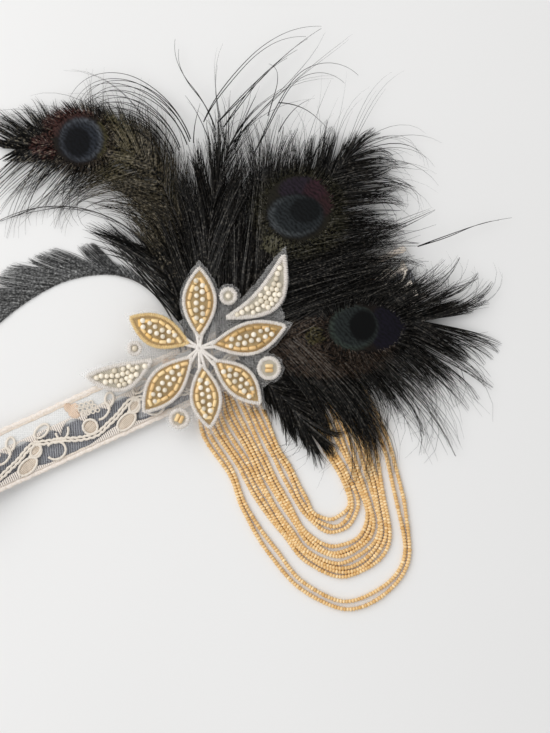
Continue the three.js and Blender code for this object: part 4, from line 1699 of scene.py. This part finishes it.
        def values(spot: np.ndarray, lock: np.ndarray, loose: float) -> list[np.ndarray]:
            many = len(spot)
            at = np.clip(read_at(row.at, spot) + rng.normal(0, 0.006, many) * loose, 0.01, 1.0)
            angle = read_at(row.angle, spot) + row.wander * (
                lean[lock, 0] * 3.2 + rng.normal(0, 1.6, many) * loose
            )
            bend = read_at(row.bend, spot) * 2 / 3 + row.wander * (
                lean[lock, 1] * 6 + rng.normal(0, 4, many) * loose
            )
            curl = row.curl + row.wander * (lean[lock, 2] * 14 + rng.normal(0, 16, many) * loose)
            reach = read_at(row.reach, spot) * self.length * (1 + 0.07 * lean[lock, 3])
            return [at, angle, bend, curl, reach]

        at, angle, bend, curl, reach = values(place, which, 1.0)
        reach *= 1.04 - row.fray * rng.uniform(0, 1, count) ** 1.3
        rise = rng.uniform(0.15, 1.25, count)
        tip = read_at(row.tip, place)
        path = self.paths(at, row.side, angle, bend, curl, reach, tip, rise, 10)
        at, angle, bend, curl, reach = values(centre, np.arange(locks), 0.0)
        heart = self.paths(
            at, row.side, angle, bend, curl, reach, read_at(row.tip, centre), np.full(locks, 0.7), 10
        )
        pull = (np.linspace(0, 1, 11) ** 2 * row.gather)[None, :, None]
        own = rng.uniform(0.6, 1.1, (count, 1, 1)) * pull
        path[..., :2] += (heart[which][..., :2] - path[..., :2]) * np.clip(own, 0, 1)
        tone = np.clip(rng.normal(0.4, 0.22, count) + lean[which, 3] * 0.12, 0, 1)
        self.grow(soup, path, rng.uniform(0.55, 1.1, count) * self.barb * row.thick, tone)


OVER_STRINGS = BEAD_SIZE + SEAT_GAP
# Each row of locks: side, count, at, angle, bend, reach, tip, each, split, curl, thick, gather, wander, fray.
FEATHERS = (
    Feather(
        "peacock_feather_left", (-7.2, 6.7), (92, 96, 115, 176, 192),
        (STEM_BOTTOM, STEM_BOTTOM, STEM_BOTTOM, 3.6, 2.4), 161.0,
        (0.52, 1.08, 15, 14),
        (
            Locks(
                -1, 6, (0.34, 0.94), (20, 50), (-125, -60), (0.66, 0.2), (1, 0), 3, 1, -20, 0.45, 0.1, 0.35
            ),
            Locks(-1, 3, (0.22, 0.4), (12, 16), (-16, -50), (0.4, 0.5), (5, 2), 5, 2, -20, 0.45, 0.2),
            Locks(-1, 10, (0.52, 0.78), (44, 84), (0, 0), (0.19, 0.22), (2, 0), 4, 1, 0, 0.4, 0.25),
            Locks(
                -1, 11, (0.2, 0.46, 0.72, 0.9), (0, 24, 70, 66), (0, -8, 0), (0.32, 0.19, 0.13, 0.13),
                (4, 2, 0), 22, 3, 0, 0.7, 0.5,
            ),
            Locks(-1, 5, (0.86, 1.0), (70, 30), (-10, 0), (0.13, 0.2), (1, 0), 26, 2, -20, 0.8, 0.6),
            Locks(1, 5, (0.02, 0.24), (12, 22), (8, 8), (0.34, 0.34), (STEM_BOTTOM, 3), 34, 3, 0, 1.1, 0.6),
            Locks(1, 6, (0.14, 0.5), (16, 46), (8, 6), (0.38, 0.28), (4, 1), 24, 3, 0, 0.8, 0.4),
            Locks(
                1, 9, (0.1, 0.96), (10, 36, 54, 52, 30), (6, 6), (0.4, 0.26, 0.23, 0.25, 0.22), (4, 0), 17,
                3, 0, 0.75, 0.4,
            ),
            Locks(
                1, 9, (0.06, 0.84), (12, 38, 62, 60, 34), (10, 6), (0.36, 0.3, 0.27, 0.3, 0.3), (4, 0), 17,
                3, 0, 0.7, 0.4, 1, 0.3,
            ),
            Locks(1, 6, (0.4, 0.9), (60, 50), (20, 10), (0.3, 0.3), (2, 0), 6, 2, 20, 0.6, 0.9, 1.6, 0.15),
        ),
        21,
        Eye(0.84, -61.4, 108.8, 14.2, 13.2),
    ),
    Feather(
        "peacock_feather_top", (3, 8), (62, 58, 55, 52, 48), (UPPER, UPPER, UPPER, 6, 5.2), 110.6,
        (0.12, 1.04, 17, 19),
        (
            Locks(1, 6, (0.04, 0.4), (30, 26), (-4, 0), (0.8, 0.6), (6, 6), 30, 3, 0, 1.2, 0.5),
            Locks(-1, 6, (0.03, 0.34), (34, 42), (0, 2), (0.8, 0.68), (UPPER, UPPER), 36, 3, 0, 1.1, 0.6),
            Locks(
                1, 9, (0.34, 0.99), (28, 28, 26, 20, 8), (-4, 0), (0.58, 0.47, 0.36, 0.25, 0.14), (6, 1),
                32, 3, 0, 0.9, 0.85,
            ),
            Locks(
                -1, 9, (0.32, 0.99), (44, 44, 44, 42, 36), (0, 6), (0.7, 0.56, 0.43, 0.32, 0.15),
                (UPPER, UPPER, 1), 32, 3, 0, 0.9, 0.85,
            ),
            Locks(
                1, 15, (0.34, 1.0), (30, 30, 28, 20, 2), (0, -10), (0.66, 0.54, 0.42, 0.32, 0.2), (6, 1), 8,
                1, -10, 0.8, 0.92, 1.5, 0.15,
            ),
            Locks(
                -1, 15, (0.34, 1.0), (44, 44, 42, 36, 20), (0, 20), (0.76, 0.62, 0.5, 0.38, 0.22),
                (UPPER, 1), 8, 1, 30, 0.8, 0.92, 1.5, 0.15,
            ),
            Locks(1, 7, (0.4, 1.0), (34, 20), (0, -20), (0.8, 0.6, 0.42), (6, 1), 3, 1, 0, 0.4, 0.3, 1.6),
            Locks(-1, 9, (0.4, 1.0), (34, 16), (60, 90), (0.66, 0.44), (4, 1), 6, 1, 50, 0.42, 0.1, 2.2),
            Locks(1, 5, (0.6, 1.0), (40, 10), (-70, -110), (0.44, 0.4), (4, 1), 6, 1, -60, 0.42, 0.1, 2.2),
        ),
        22,
        Eye(0.76, 43.4, 75.4, 17.4, 17.4),
    ),
    Feather(
        "peacock_feather_right", (11, 7), (16, 13, 9, 5, 2), (STEM_BOTTOM,) * 5, 92.4, (0.1, 1.04, 17, 19),
        (
            Locks(
                1, 7, (0.04, 0.46), (10, 17), (0, 0), (0.86, 0.62), (STEM_BOTTOM, STEM_BOTTOM), 40, 3, 0,
                1.0, 0.5,
            ),
            Locks(
                -1, 8, (0.02, 0.34), (62, 54), (10, 24), (0.5, 0.74), (OVER_STRINGS, OVER_STRINGS), 56, 4,
                0, 1.1, 0.7,
            ),
            Locks(
                1, 5, (0.2, 0.5), (14, 16), (0, 2), (0.7, 0.5), (STEM_BOTTOM, STEM_BOTTOM), 46, 3, 0, 1.1,
                0.75,
            ),
            Locks(
                1, 9, (0.4, 0.99), (17, 20, 13), (0, 6), (0.56, 0.46, 0.3), (STEM_BOTTOM, STEM_BOTTOM, 2),
                30, 3, 0, 0.9, 0.8,
            ),
            Locks(
                -1, 9, (0.26, 0.99), (50, 30), (30, 12), (0.62, 0.56, 0.34),
                (OVER_STRINGS, OVER_STRINGS, 0), 34, 3, 6, 0.9, 0.8,
            ),
            Locks(
                -1, 7, (0.26, 0.6), (58, 44), (16, 14), (0.5, 0.5), (OVER_STRINGS, OVER_STRINGS), 44, 3, 0,
                1.0, 0.6,
            ),
            Locks(
                1, 13, (0.4, 1.0), (16, 20, 8), (0, 10), (0.66, 0.62, 0.44), (STEM_BOTTOM, 2), 7, 1, 30,
                0.8, 0.93, 1.6, 0.12,
            ),
            Locks(
                -1, 20, (0.24, 1.0), (52, 40, 8), (34, 12), (0.86, 0.82, 0.44),
                (OVER_STRINGS, OVER_STRINGS, 0), 8, 1, 24, 0.8, 0.93, 1.5, 0.12,
            ),
            Locks(
                -1, 14, (0.08, 0.7), (56, 30), (30, 50), (0.84, 0.9), (OVER_STRINGS, 0), 6, 1, 80, 0.62,
                0.1, 2.4,
            ),
            Locks(
                1, 8, (0.5, 1.0), (30, 10), (10, 40), (0.6, 0.5), (STEM_BOTTOM, 2), 6, 1, 90, 0.42, 0.1,
                2.4,
            ),
        ),
        23,
        Eye(0.73, 75.0, 18.0, 20.0, 12.2),
    ),
    Feather(
        "herl_spray", (-1.5, 8), (92, 88, 84, 78, 72),
        (UPPER, UPPER, UPPER, CREST, CREST), 100.0, (0.1, 0.86, 10, 11),
        (
            Locks(1, 5, (0.04, 0.5), (14, 10), (4, 4), (0.66, 0.5), (UPPER, UPPER), 34, 3, 0, 1.2, 0.6),
            Locks(-1, 5, (0.04, 0.5), (10, 12), (4, 4), (0.7, 0.5), (UPPER, CREST), 34, 3, 0, 1.2, 0.6),
            Locks(
                1, 7, (0.4, 0.96), (14, 10), (4, 20), (0.45, 0.3), (UPPER, UPPER), 7, 2, 0, 0.5, 0.4, 1.5
            ),
            Locks(
                1, 6, (0.4, 0.8), (22, 10), (2, 8), (0.44, 0.34), (UPPER, UPPER), 22, 3, 0, 0.8, 0.7, 1.3
            ),
            Locks(1, 1, (0.96, 0.96), (40, 40), (-24, -24), (0.5, 0.5), (4, 4), 3, 1, 0, 0.5, 0.3),
            Locks(
                -1, 7, (0.5, 0.98), (8, 14), (12, 20), (0.5, 0.32), (CREST, CREST), 7, 2, 0, 0.5, 0.4, 1.5
            ),
            Locks(-1, 1, (0.98, 0.98), (20, 20), (18, 18), (0.74, 0.74), (6, 6), 3, 1, 0, 0.5, 0.3),
            Locks(-1, 1, (0.9, 0.9), (4, 4), (90, 90), (0.8, 0.8), (CREST, CREST), 3, 1, 0, 0.5, 0.3),
        ),
        24,
        vane_angle=22.0,
    ),
    Feather(
        "side_feather_upper", (-10.6, 7.7), (90, 115, 149, 183, 217),
        (STEM_BOTTOM, STEM_BOTTOM, 2.6, 1, 0), 142.8,
        (0.1, 0.5, 2, 0.8),
        (
            Locks(1, 6, (0.08, 0.36), (28, 32), (2, 0), (0.38, 0.24), (2, 1), 18, 3, 0, 1.3, 0.6, 1, 0.3),
            Locks(1, 4, (0.2, 0.8), (14, 10), (0, 0), (0.3, 0.2), (2, 0), 3, 1, 0, 0.6, 0.2),
        ),
        25,
        pitch=0.8,
        barb=0.3,
        stem_width=0.55,
    ),
    # Its barbs take the grey finish, partly painted shade for the shaded table between the side feathers'
    # shafts.
    Feather(
        "side_feather_lower", (-13, 6.6), (96, 131, 180, 209, 224), (STEM_BOTTOM, 2.4, 0, 0, 0), 116.8,
        (0.3, 1.04, 1, 7),
        (
            Locks(
                -1, 5, (0.42, 0.97), (30, 38), (-4, -10), (0.22, 0.22), (0, 0), 110, 1, 0, 1.0, 0.35, 0.5,
                0.12,
            ),
        ),
        26,
        pitch=0.4,
        barb=0.26,
        stem_width=0.5,
    ),
    Feather(
        "short_under_feather", (13.4, 2.9), (-30, -38, -45, -50, -55), (
            STEM_BOTTOM, STEM_BOTTOM, STEM_BOTTOM, 4, 3
        ), 48.0,
        (0.02, 1.05, 7, 9),
        (
            Locks(
                1, 7, (0.1, 0.96), (34, 8), (0, 6), (0.7, 0.46), (OVER_STRINGS, OVER_STRINGS), 44, 4, 0,
                1.2,
            ),
            Locks(-1, 5, (0.5, 0.96), (30, 8), (10, 8), (0.5, 0.46), (OVER_STRINGS, OVER_STRINGS), 34, 4),
            Locks(
                -1, 5, (0.1, 0.6), (40, 20), (0, 0), (0.5, 0.5), (OVER_STRINGS, OVER_STRINGS), 18, 4, 0,
                0.8,
            ),
        ),
        27,
    ),
)


@dataclass
class StrayHerl:
    """Single long barbs that curl out of the feathers."""

    strands: tuple[tuple[float, float, tuple[float, ...], float, float], ...] = (
        (3.8, 112.8, (108, 118, 130, 112, 82), 49.5, 4),
        (-1.9, 116.6, (68, 53, 45, 26, -2), 77, 6),
        (4.8, 116.2, (51, 46, 43, 40, 32), 67.7, 6),
        (7.7, 114.2, (58, 55, 50, 38, 30), 52, 6),
        (28.8, 119.5, (73, 73, 75, 95, 165), 28, 6),
        (22.6, 102.2, (65, 65, 56, 8, -45), 74.6, 7),
        (1.4, 105.6, (108, 112, 116, 122, 128), 27, 7),
        (-6.7, 106.6, (90, 86, 80, 76, 72), 19.5, 7),
        (13, 103.2, (74, 72, 69, 66, 63), 28, 8),
        (34, 125.8, (0, -12, -28, -42, -46), 27, 4),
        (34, 111.8, (66, 58, 50, 38, 22), 22, 6),
        (100.3, 57.1, (22, 20, 20, 14, 8), 48, 4),
    )
    arcs: int = 9

    def build(self, finish: Material) -> None:
        """Make the strays and the nested arcs of the left feather."""
        rng = np.random.default_rng(31)
        soup = Soup()
        rows = list(self.strands)
        for number in range(self.arcs):
            shift = rng.normal(0, 1, 4)
            rows.append(
                (
                    -7.7 - number * 1.6 + shift[0],
                    108.5 - number * 1.4,
                    (110, 130, 152, 188 + shift[1] * 6, 240 + shift[2] * 8),
                    78 - number * 3.5,
                    2.0,
                )
            )
        for x, y, headings, length, tip in rows:
            for twin in range(2 if length > 40 else 1):
                line = course((x, y), headings, length * (1 - 0.12 * twin), 40)
                height = CREST + (tip - CREST) * line[:, 0]
                offset = twin * 0.6 * np.sin(line[:, 0] * 5)
                path = np.column_stack([line[:, 1] + offset, line[:, 2] - offset, height])[None]
                thick = 0.26 * (1 - 0.75 * line[:, 0])[None]
                soup.sweep(path, thick, thick * 0.6, 4, rng.uniform(0.1, 0.6))
        soup.piece("stray_herl_strands", finish, Slot.FEATHER)


# Bead strings


@dataclass
class BeadStrings:
    """Twelve strings of gold seed beads that fall from the band's lower edge and come back to it."""

    loop: Loop
    width: float = 27.4
    count: int = 12
    pitch: float = 1.5
    bead: float = BEAD_SIZE / 2 + 0.24
    # The thread is drawn thick enough to fill the gaps between beads: a real thread, and painted glow for
    # light through the glass.
    thread: float = 0.8
    start: tuple[float, float] = (14, -11.5)
    finish: tuple[float, float] = (35.9, 62.3)
    inner: tuple[tuple[float, float], ...] = (
        (24, -16.5), (32.6, -37), (40.3, -49.9), (47, -63.4), (52, -71), (59.5, -74.2),
        (66.4, -70.4), (67.6, -62), (61.4, -49), (53.8, -37), (46.1, -21),
    )
    outer: tuple[tuple[float, float], ...] = (
        (-2.4, -33.6), (11, -53.8), (16.8, -70.1), (29.3, -89.3), (44.2, -106.6), (64.8, -117.6),
        (85, -110.4), (97, -93.1), (94.6, -70.1), (90.2, -49), (83, -25.9),
    )
    bottom: tuple[float, ...] = (0, 0.07, 0.14, 0.31, 0.36, 0.4, 0.49, 0.535, 0.58, 0.63, 0.91, 1)
    sways: tuple[tuple[float, float], ...] = ((0.42, 2.3), (0.34, 4.7), (0.2, 9.1))
    bundles: tuple[tuple[str, int, int], ...] = (
        ("bead_strings_inner", 0, 2),
        ("bead_strings_middle", 3, 5),
        ("bead_strings_main", 6, 9),
        ("bead_string_long_a", 10, 10),
        ("bead_string_long_b", 11, 11),
    )

    def line(self, index: int) -> np.ndarray:
        """The middle line of one string.

        Args:
            index: Which string, counted from the innermost.

        Returns:
            Its points in the frame.
        """
        even = index / (self.count - 1)
        middle = (len(self.inner) - 1) / 2
        low = np.cos((np.arange(len(self.inner)) - middle) / len(self.inner) * math.pi) ** 1.5
        share = (even + (self.bottom[index] - even) * low)[:, None]
        between = np.array(self.inner) * (1 - share) + np.array(self.outer) * share
        edge = np.array([-self.width / 2 - SEAT_GAP])
        ends = []
        for near, far in (self.start, self.finish):
            ends.append(self.loop.place(np.array([near + (far - near) * even]), edge, np.zeros(1))[0, :2])
        points = np.vstack([ends[0], between, ends[1]])
        curve = smooth_line(points, 30)
        return np.column_stack([curve, np.full(len(curve), BEAD_SIZE / 2)])

    def swayed(self, line: np.ndarray, rng: np.random.Generator) -> np.ndarray:
        """Let a string sway a little to each side between its ends, as loose strings do.

        Args:
            line: Its middle line.
            rng: The source of chance.

        Returns:
            The swayed line.
        """
        run = np.gradient(line[:, :2], axis=0)
        run /= np.linalg.norm(run, axis=1, keepdims=True)
        share = np.linspace(0, 1, len(line))
        sway = 0 * share
        for reach, waves in self.sways:
            sway += reach * np.sin(2 * math.pi * (waves * share + rng.uniform(0, 1)))
        line[:, :2] += np.stack([-run[:, 1], run[:, 0]], 1) * (
            sway * np.sin(math.pi * share) ** 0.5
        )[:, None]
        return line

    def build(self, glass: Material, thread: Material) -> None:
        """String the beads, bundle by bundle.

        Args:
            glass: The beads' material.
            thread: The thread's material, its gold also painted glow for light through the glass beads.
        """
        rng = np.random.default_rng(41)
        seed = round_bead(self.bead, self.pitch)
        for name, first, last in self.bundles:
            beads, threads = Soup(), Soup()
            for index in range(first, last + 1):
                line = self.swayed(self.line(index), rng)
                places, runs = even_points(line, self.pitch)
                count = len(places)
                scale = rng.uniform(0.86, 1.0, count)
                places[:, 2] = self.bead * scale
                tilt = rng.normal(0, 0.09, (count, 3)) * np.linalg.norm(runs, axis=1, keepdims=True)
                scatter(
                    beads, seed, places, runs + tilt, scale, np.clip(rng.normal(0.5, 0.22, count), 0, 1)
                )
                path = line[::3][None]
                thin = np.full(path.shape[:2], self.thread)
                threads.sweep(path, thin, thin, 6, 0.7)
            beads.piece(name + "_beads", glass, Slot.STRING, (name,))
            threads.piece(name + "_thread", thread, Slot.STRING)


# Studio


@dataclass
class Studio:
    """Pale table, soft daylight from the left and the camera straight above."""

    centre: tuple[float, float] = (0.0322, -0.0002)
    field_height: float = 0.3518
    lens: float = 85.0
    sensor: float = 36.0
    sky: str = "#F4F5F7"
    sky_strength: float = 0.67
    # Name, place, side in metres and power in watts.
    lights: tuple[tuple[str, tuple[float, float, float], float, float], ...] = (
        ("window_light", (-0.68, 0.56, 0.85), 1.1, 7.4),
        ("room_light", (-0.95, -0.6, 1.2), 1.6, 6.4),
    )

    def build(self) -> None:
        """Make the table, the lights and the camera."""
        self.table()
        for row in self.lights:
            self.light(*row)
        world = bpy.data.worlds.new("room")
        bpy.context.scene.world = world
        world.use_nodes = True
        background = next(node for node in world.node_tree.nodes if node.type == "BACKGROUND")
        background.inputs["Color"].default_value = linear(self.sky)
        background.inputs["Strength"].default_value = self.sky_strength
        self.camera()
        bpy.context.scene.view_settings.view_transform = "Standard"

    def table(self) -> None:
        """A large pale table top."""
        shape = bmesh.new()
        bmesh.ops.create_grid(shape, x_segments=1, y_segments=1, size=2.0)
        mesh = bpy.data.meshes.new("floor")
        shape.to_mesh(mesh)
        shape.free()
        top = bpy.data.objects.new("floor", mesh)
        bpy.context.scene.collection.objects.link(top)
        material, tree, shader = new_material("floor_matt_white_board")
        place = add_node(tree, "ShaderNodeTexCoord").outputs["Object"]
        cloud = add_node(tree, "ShaderNodeTexNoise", inputs={"Vector": place, "Scale": 3.0})
        colour = ramp(tree, cloud.outputs["Fac"], [(0.3, "#E9E8E6"), (0.7, "#EDECEA")])
        tree.links.new(colour.outputs["Color"], shader.inputs["Base Color"])
        shader.inputs["Roughness"].default_value = 0.8
        mesh.materials.append(material)

    def light(self, name: str, place: tuple[float, float, float], size: float, power: float) -> None:
        """Hang a square soft light that faces the headband.

        Args:
            name: The light's name.
            place: Where it hangs.
            size: Its side in metres.
            power: Its power in watts.
        """
        data = bpy.data.lights.new(name, "AREA")
        data.size = size
        data.energy = power
        lamp = bpy.data.objects.new(name, data)
        lamp.location = place
        away = np.array(place) - (self.centre[0], self.centre[1], 0.0)
        flat = math.hypot(away[0], away[1])
        lamp.rotation_euler = (math.atan2(flat, away[2]), 0.0, math.atan2(away[0], -away[1]))
        bpy.context.scene.collection.objects.link(lamp)

    def camera(self) -> None:
        """Hang the camera above the headband, looking straight down."""
        data = bpy.data.cameras.new("camera_above")
        data.lens = self.lens
        data.sensor_width = self.sensor
        above = bpy.data.objects.new("camera_above", data)
        above.location = (*self.centre, self.field_height * self.lens / self.sensor + 0.005)
        bpy.context.scene.collection.objects.link(above)
        bpy.context.scene.camera = above


# Everything together


LEFT_CAST = (
    Patch("#6E6744", -45.0, 104.5, 11, 17, 0.85),
    Patch("#5A5240", -32.0, 88.0, 28, 34, 0.7),
    Patch("#3C322A", -61.6, 108.6, 18, 17, 0.8),
    Patch("#5A3833", -67.0, 117.0, 13, 8, 0.9),
    Patch("#5A3833", -78.0, 106.0, 8, 6, 0.8),
)
LEFT_EYE = (
    Patch("#4A302C", -66.5, 116.0, 10.5, 7.5, 0.85),
    Patch("#4F4A30", -50.5, 108.5, 4.6, 10.5, 0.8),
    Patch("#1C1A1D", -61.2, 108.3, 11.4, 11.4),
    Patch("#565A60", -60.6, 108.8, 10.3, 10.3),
    Patch("#2A2C32", -61.4, 108.2, 9.5, 9.5),
    Patch("#2C3037", -59.6, 108.8, 6.8, 8.2, 0.7),
    Patch("#101115", -62.4, 107.6, 6.4, 7.2),
)
TOP_CAST = (
    Patch("#45422F", 44.5, 73.0, 24, 22, 0.6),
    Patch("#6A664F", 31.5, 58.0, 6, 5, 0.7),
)
TOP_EYE = (
    Patch("#232019", 43.0, 74.5, 16.5, 15.5, 0.85),
    Patch("#2C2230", 45.0, 84.5, 11.5, 6.5, 0.7),
    Patch("#3A2126", 53.0, 80.5, 8.0, 10.0, 0.7),
    Patch("#141516", 42.0, 71.8, 14.0, 10.8),
    Patch("#4A4E50", 41.4, 71.6, 12.8, 9.8, 0.9),
    Patch("#24282A", 43.4, 72.5, 12.2, 9.2, 0.95),
    Patch("#0A0C0D", 46.6, 74.4, 7.6, 6.0, 0.8),
)
RIGHT_CAST = (
    Patch("#4A3C31", 58.0, 8.5, 31, 15, 0.85),
    Patch("#4F482B", 51.5, 15.0, 5, 4.5, 0.9),
)
RIGHT_EYE = (
    Patch("#14111C", 86.0, 18.3, 9.4, 11.6),
    Patch("#39423B", 69.4, 18.4, 11.6, 10.8),
    Patch("#262B2A", 70.6, 18.8, 10.8, 10.0),
    Patch("#050606", 74.2, 19.4, 6.6, 7.6),
)


def finishes() -> dict[str, Material]:
    """Make every material of the headband."""
    black = {"dark": "#000000", "light": "#1E1C19", "warm": "#1F1A13"}
    return {
        "lace": NetFinish("lace_sheer_nylon_net", "#FFFFFD", 0.0010, 0.02, 0.14, 0.06, 0.5).build(),
        "net": NetFinish("net_fine_cotton_tulle", "#F2F0ED", 0.0008, 0.06, 0.28, 0.14).build(),
        "elastic": ElasticFinish().build(),
        "white cord": ThreadFinish("cord_white_cotton_couched", "#F4EEE7", "#A89B8C", 0.0005).build(),
        "pale gold cord": ThreadFinish("cord_pale_gold_couched", "#F3D9A0", "#B8863C", 0.0005).build(),
        "gold cord": ThreadFinish("cord_gold_rayon_twisted", "#B98C48", "#5F4018", 0.0006, 0.4).build(),
        "lace thread": ThreadFinish("thread_ecru_cotton_corded", "#E9DFD1", "#A09280", 0.0006).build(),
        "lace hem": ThreadFinish("lace_hem_turned_ecru", "#F3E9DF", "#D8C8B4", 0.0010).build(),
        # The strings' thread is real but drawn thick and gold: between the beads its gold is painted glow for
        # light through the glass.
        "string thread and glow": ThreadFinish("thread_tan_nylon_painted_glow", "#E2B878", "#B98848", 0.0005).build(),
        "beige satin": SatinFinish("satin_beige_stitched", "#EBDDCC", "#C2B19D").build(),
        "peach satin": SatinFinish("satin_peach_stitched", "#F0DCC8", "#D8B596").build(),
        "gold satin": SatinFinish("satin_old_gold_stitched", "#C4AA79", "#7B6139").build(),
        "grey satin": SatinFinish("satin_oyster_stitched", "#CFC7B6", "#8F8776").build(),
        "gold bugles": BeadFinish(
            "glass_gold_lined_bugles", ("#C29C5E", "#ECC486", "#F8DAA2", "#F2C574"), 0.26, 0.0, 0.5
        ).build(),
        "pearls": BeadFinish("glass_pearl_coated", ("#D8CCB5", "#F3E8D3", "#FCF2DF"), 0.34, 0.0).build(),
        "string beads": BeadFinish(
            "glass_gold_seed_beads", ("#DCAE6A", "#F1CC92", "#FFE4B4"), 0.5, 0.0, 0.0
        ).build(),
        "quill": ThreadFinish("quill_dyed_horn", "#2B241B", "#0E0C0A", 0.0008, 0.35).build(),
        "left barbs": BarbFinish(
            "barbs_dyed_black_left_eye", **black, fleck_and_glint="#7C7464", patches=LEFT_CAST
        ).build(),
        "top barbs": BarbFinish("barbs_dyed_black_top_eye", **black, patches=TOP_CAST).build(),
        "right barbs": BarbFinish("barbs_dyed_black_right_eye", **black, patches=RIGHT_CAST).build(),
        "peacock_feather_left eye": EyeFinish("eye_dyed_left", "#332B23", "#090705", LEFT_EYE).build(),
        "peacock_feather_top eye": EyeFinish("eye_dyed_top", "#3B3828", "#0B0A07", TOP_EYE).build(),
        "peacock_feather_right eye": EyeFinish("eye_dyed_right", "#2A211B", "#080605", RIGHT_EYE).build(),
        "barbs": BarbFinish("barbs_dyed_black_plain", **black).build(),
        # The lower side feather's grey barbs are partly its own barbs and partly painted shade: their grey
        # stands for the shaded table between its shafts.
        "grey barbs": BarbFinish(
            "barbs_grey_painted_shade", "#3A3A3A", "#7E7E7D", "#5A5854", "#B0B0AE"
        ).build(),
    }


def main() -> None:
    """Build the headband from the table up."""
    logging.basicConfig(level=logging.INFO, format="%(message)s")
    Studio().build()
    made = finishes()
    loop = Loop()
    LaceBand(loop).build(
        made["lace"], made["lace hem"], made["lace thread"], made["beige satin"], made["peach satin"]
    )
    Elastic(loop).build(made["elastic"])
    barbs = {
        "peacock_feather_left": "left barbs",
        "peacock_feather_top": "top barbs",
        "peacock_feather_right": "right barbs",
        "side_feather_lower": "grey barbs",
    }
    for feather in FEATHERS:
        finish = made[barbs.get(feather.name, "barbs")]
        feather.build(finish, made["quill"], made.get(feather.name + " eye", finish))
    StrayHerl().build(made["barbs"])
    NetPatch().build(made["net"])
    Flower().build(made)
    BeadStrings(loop).build(made["string beads"], made["string thread and glow"])


if __name__ == "__main__":
    main()
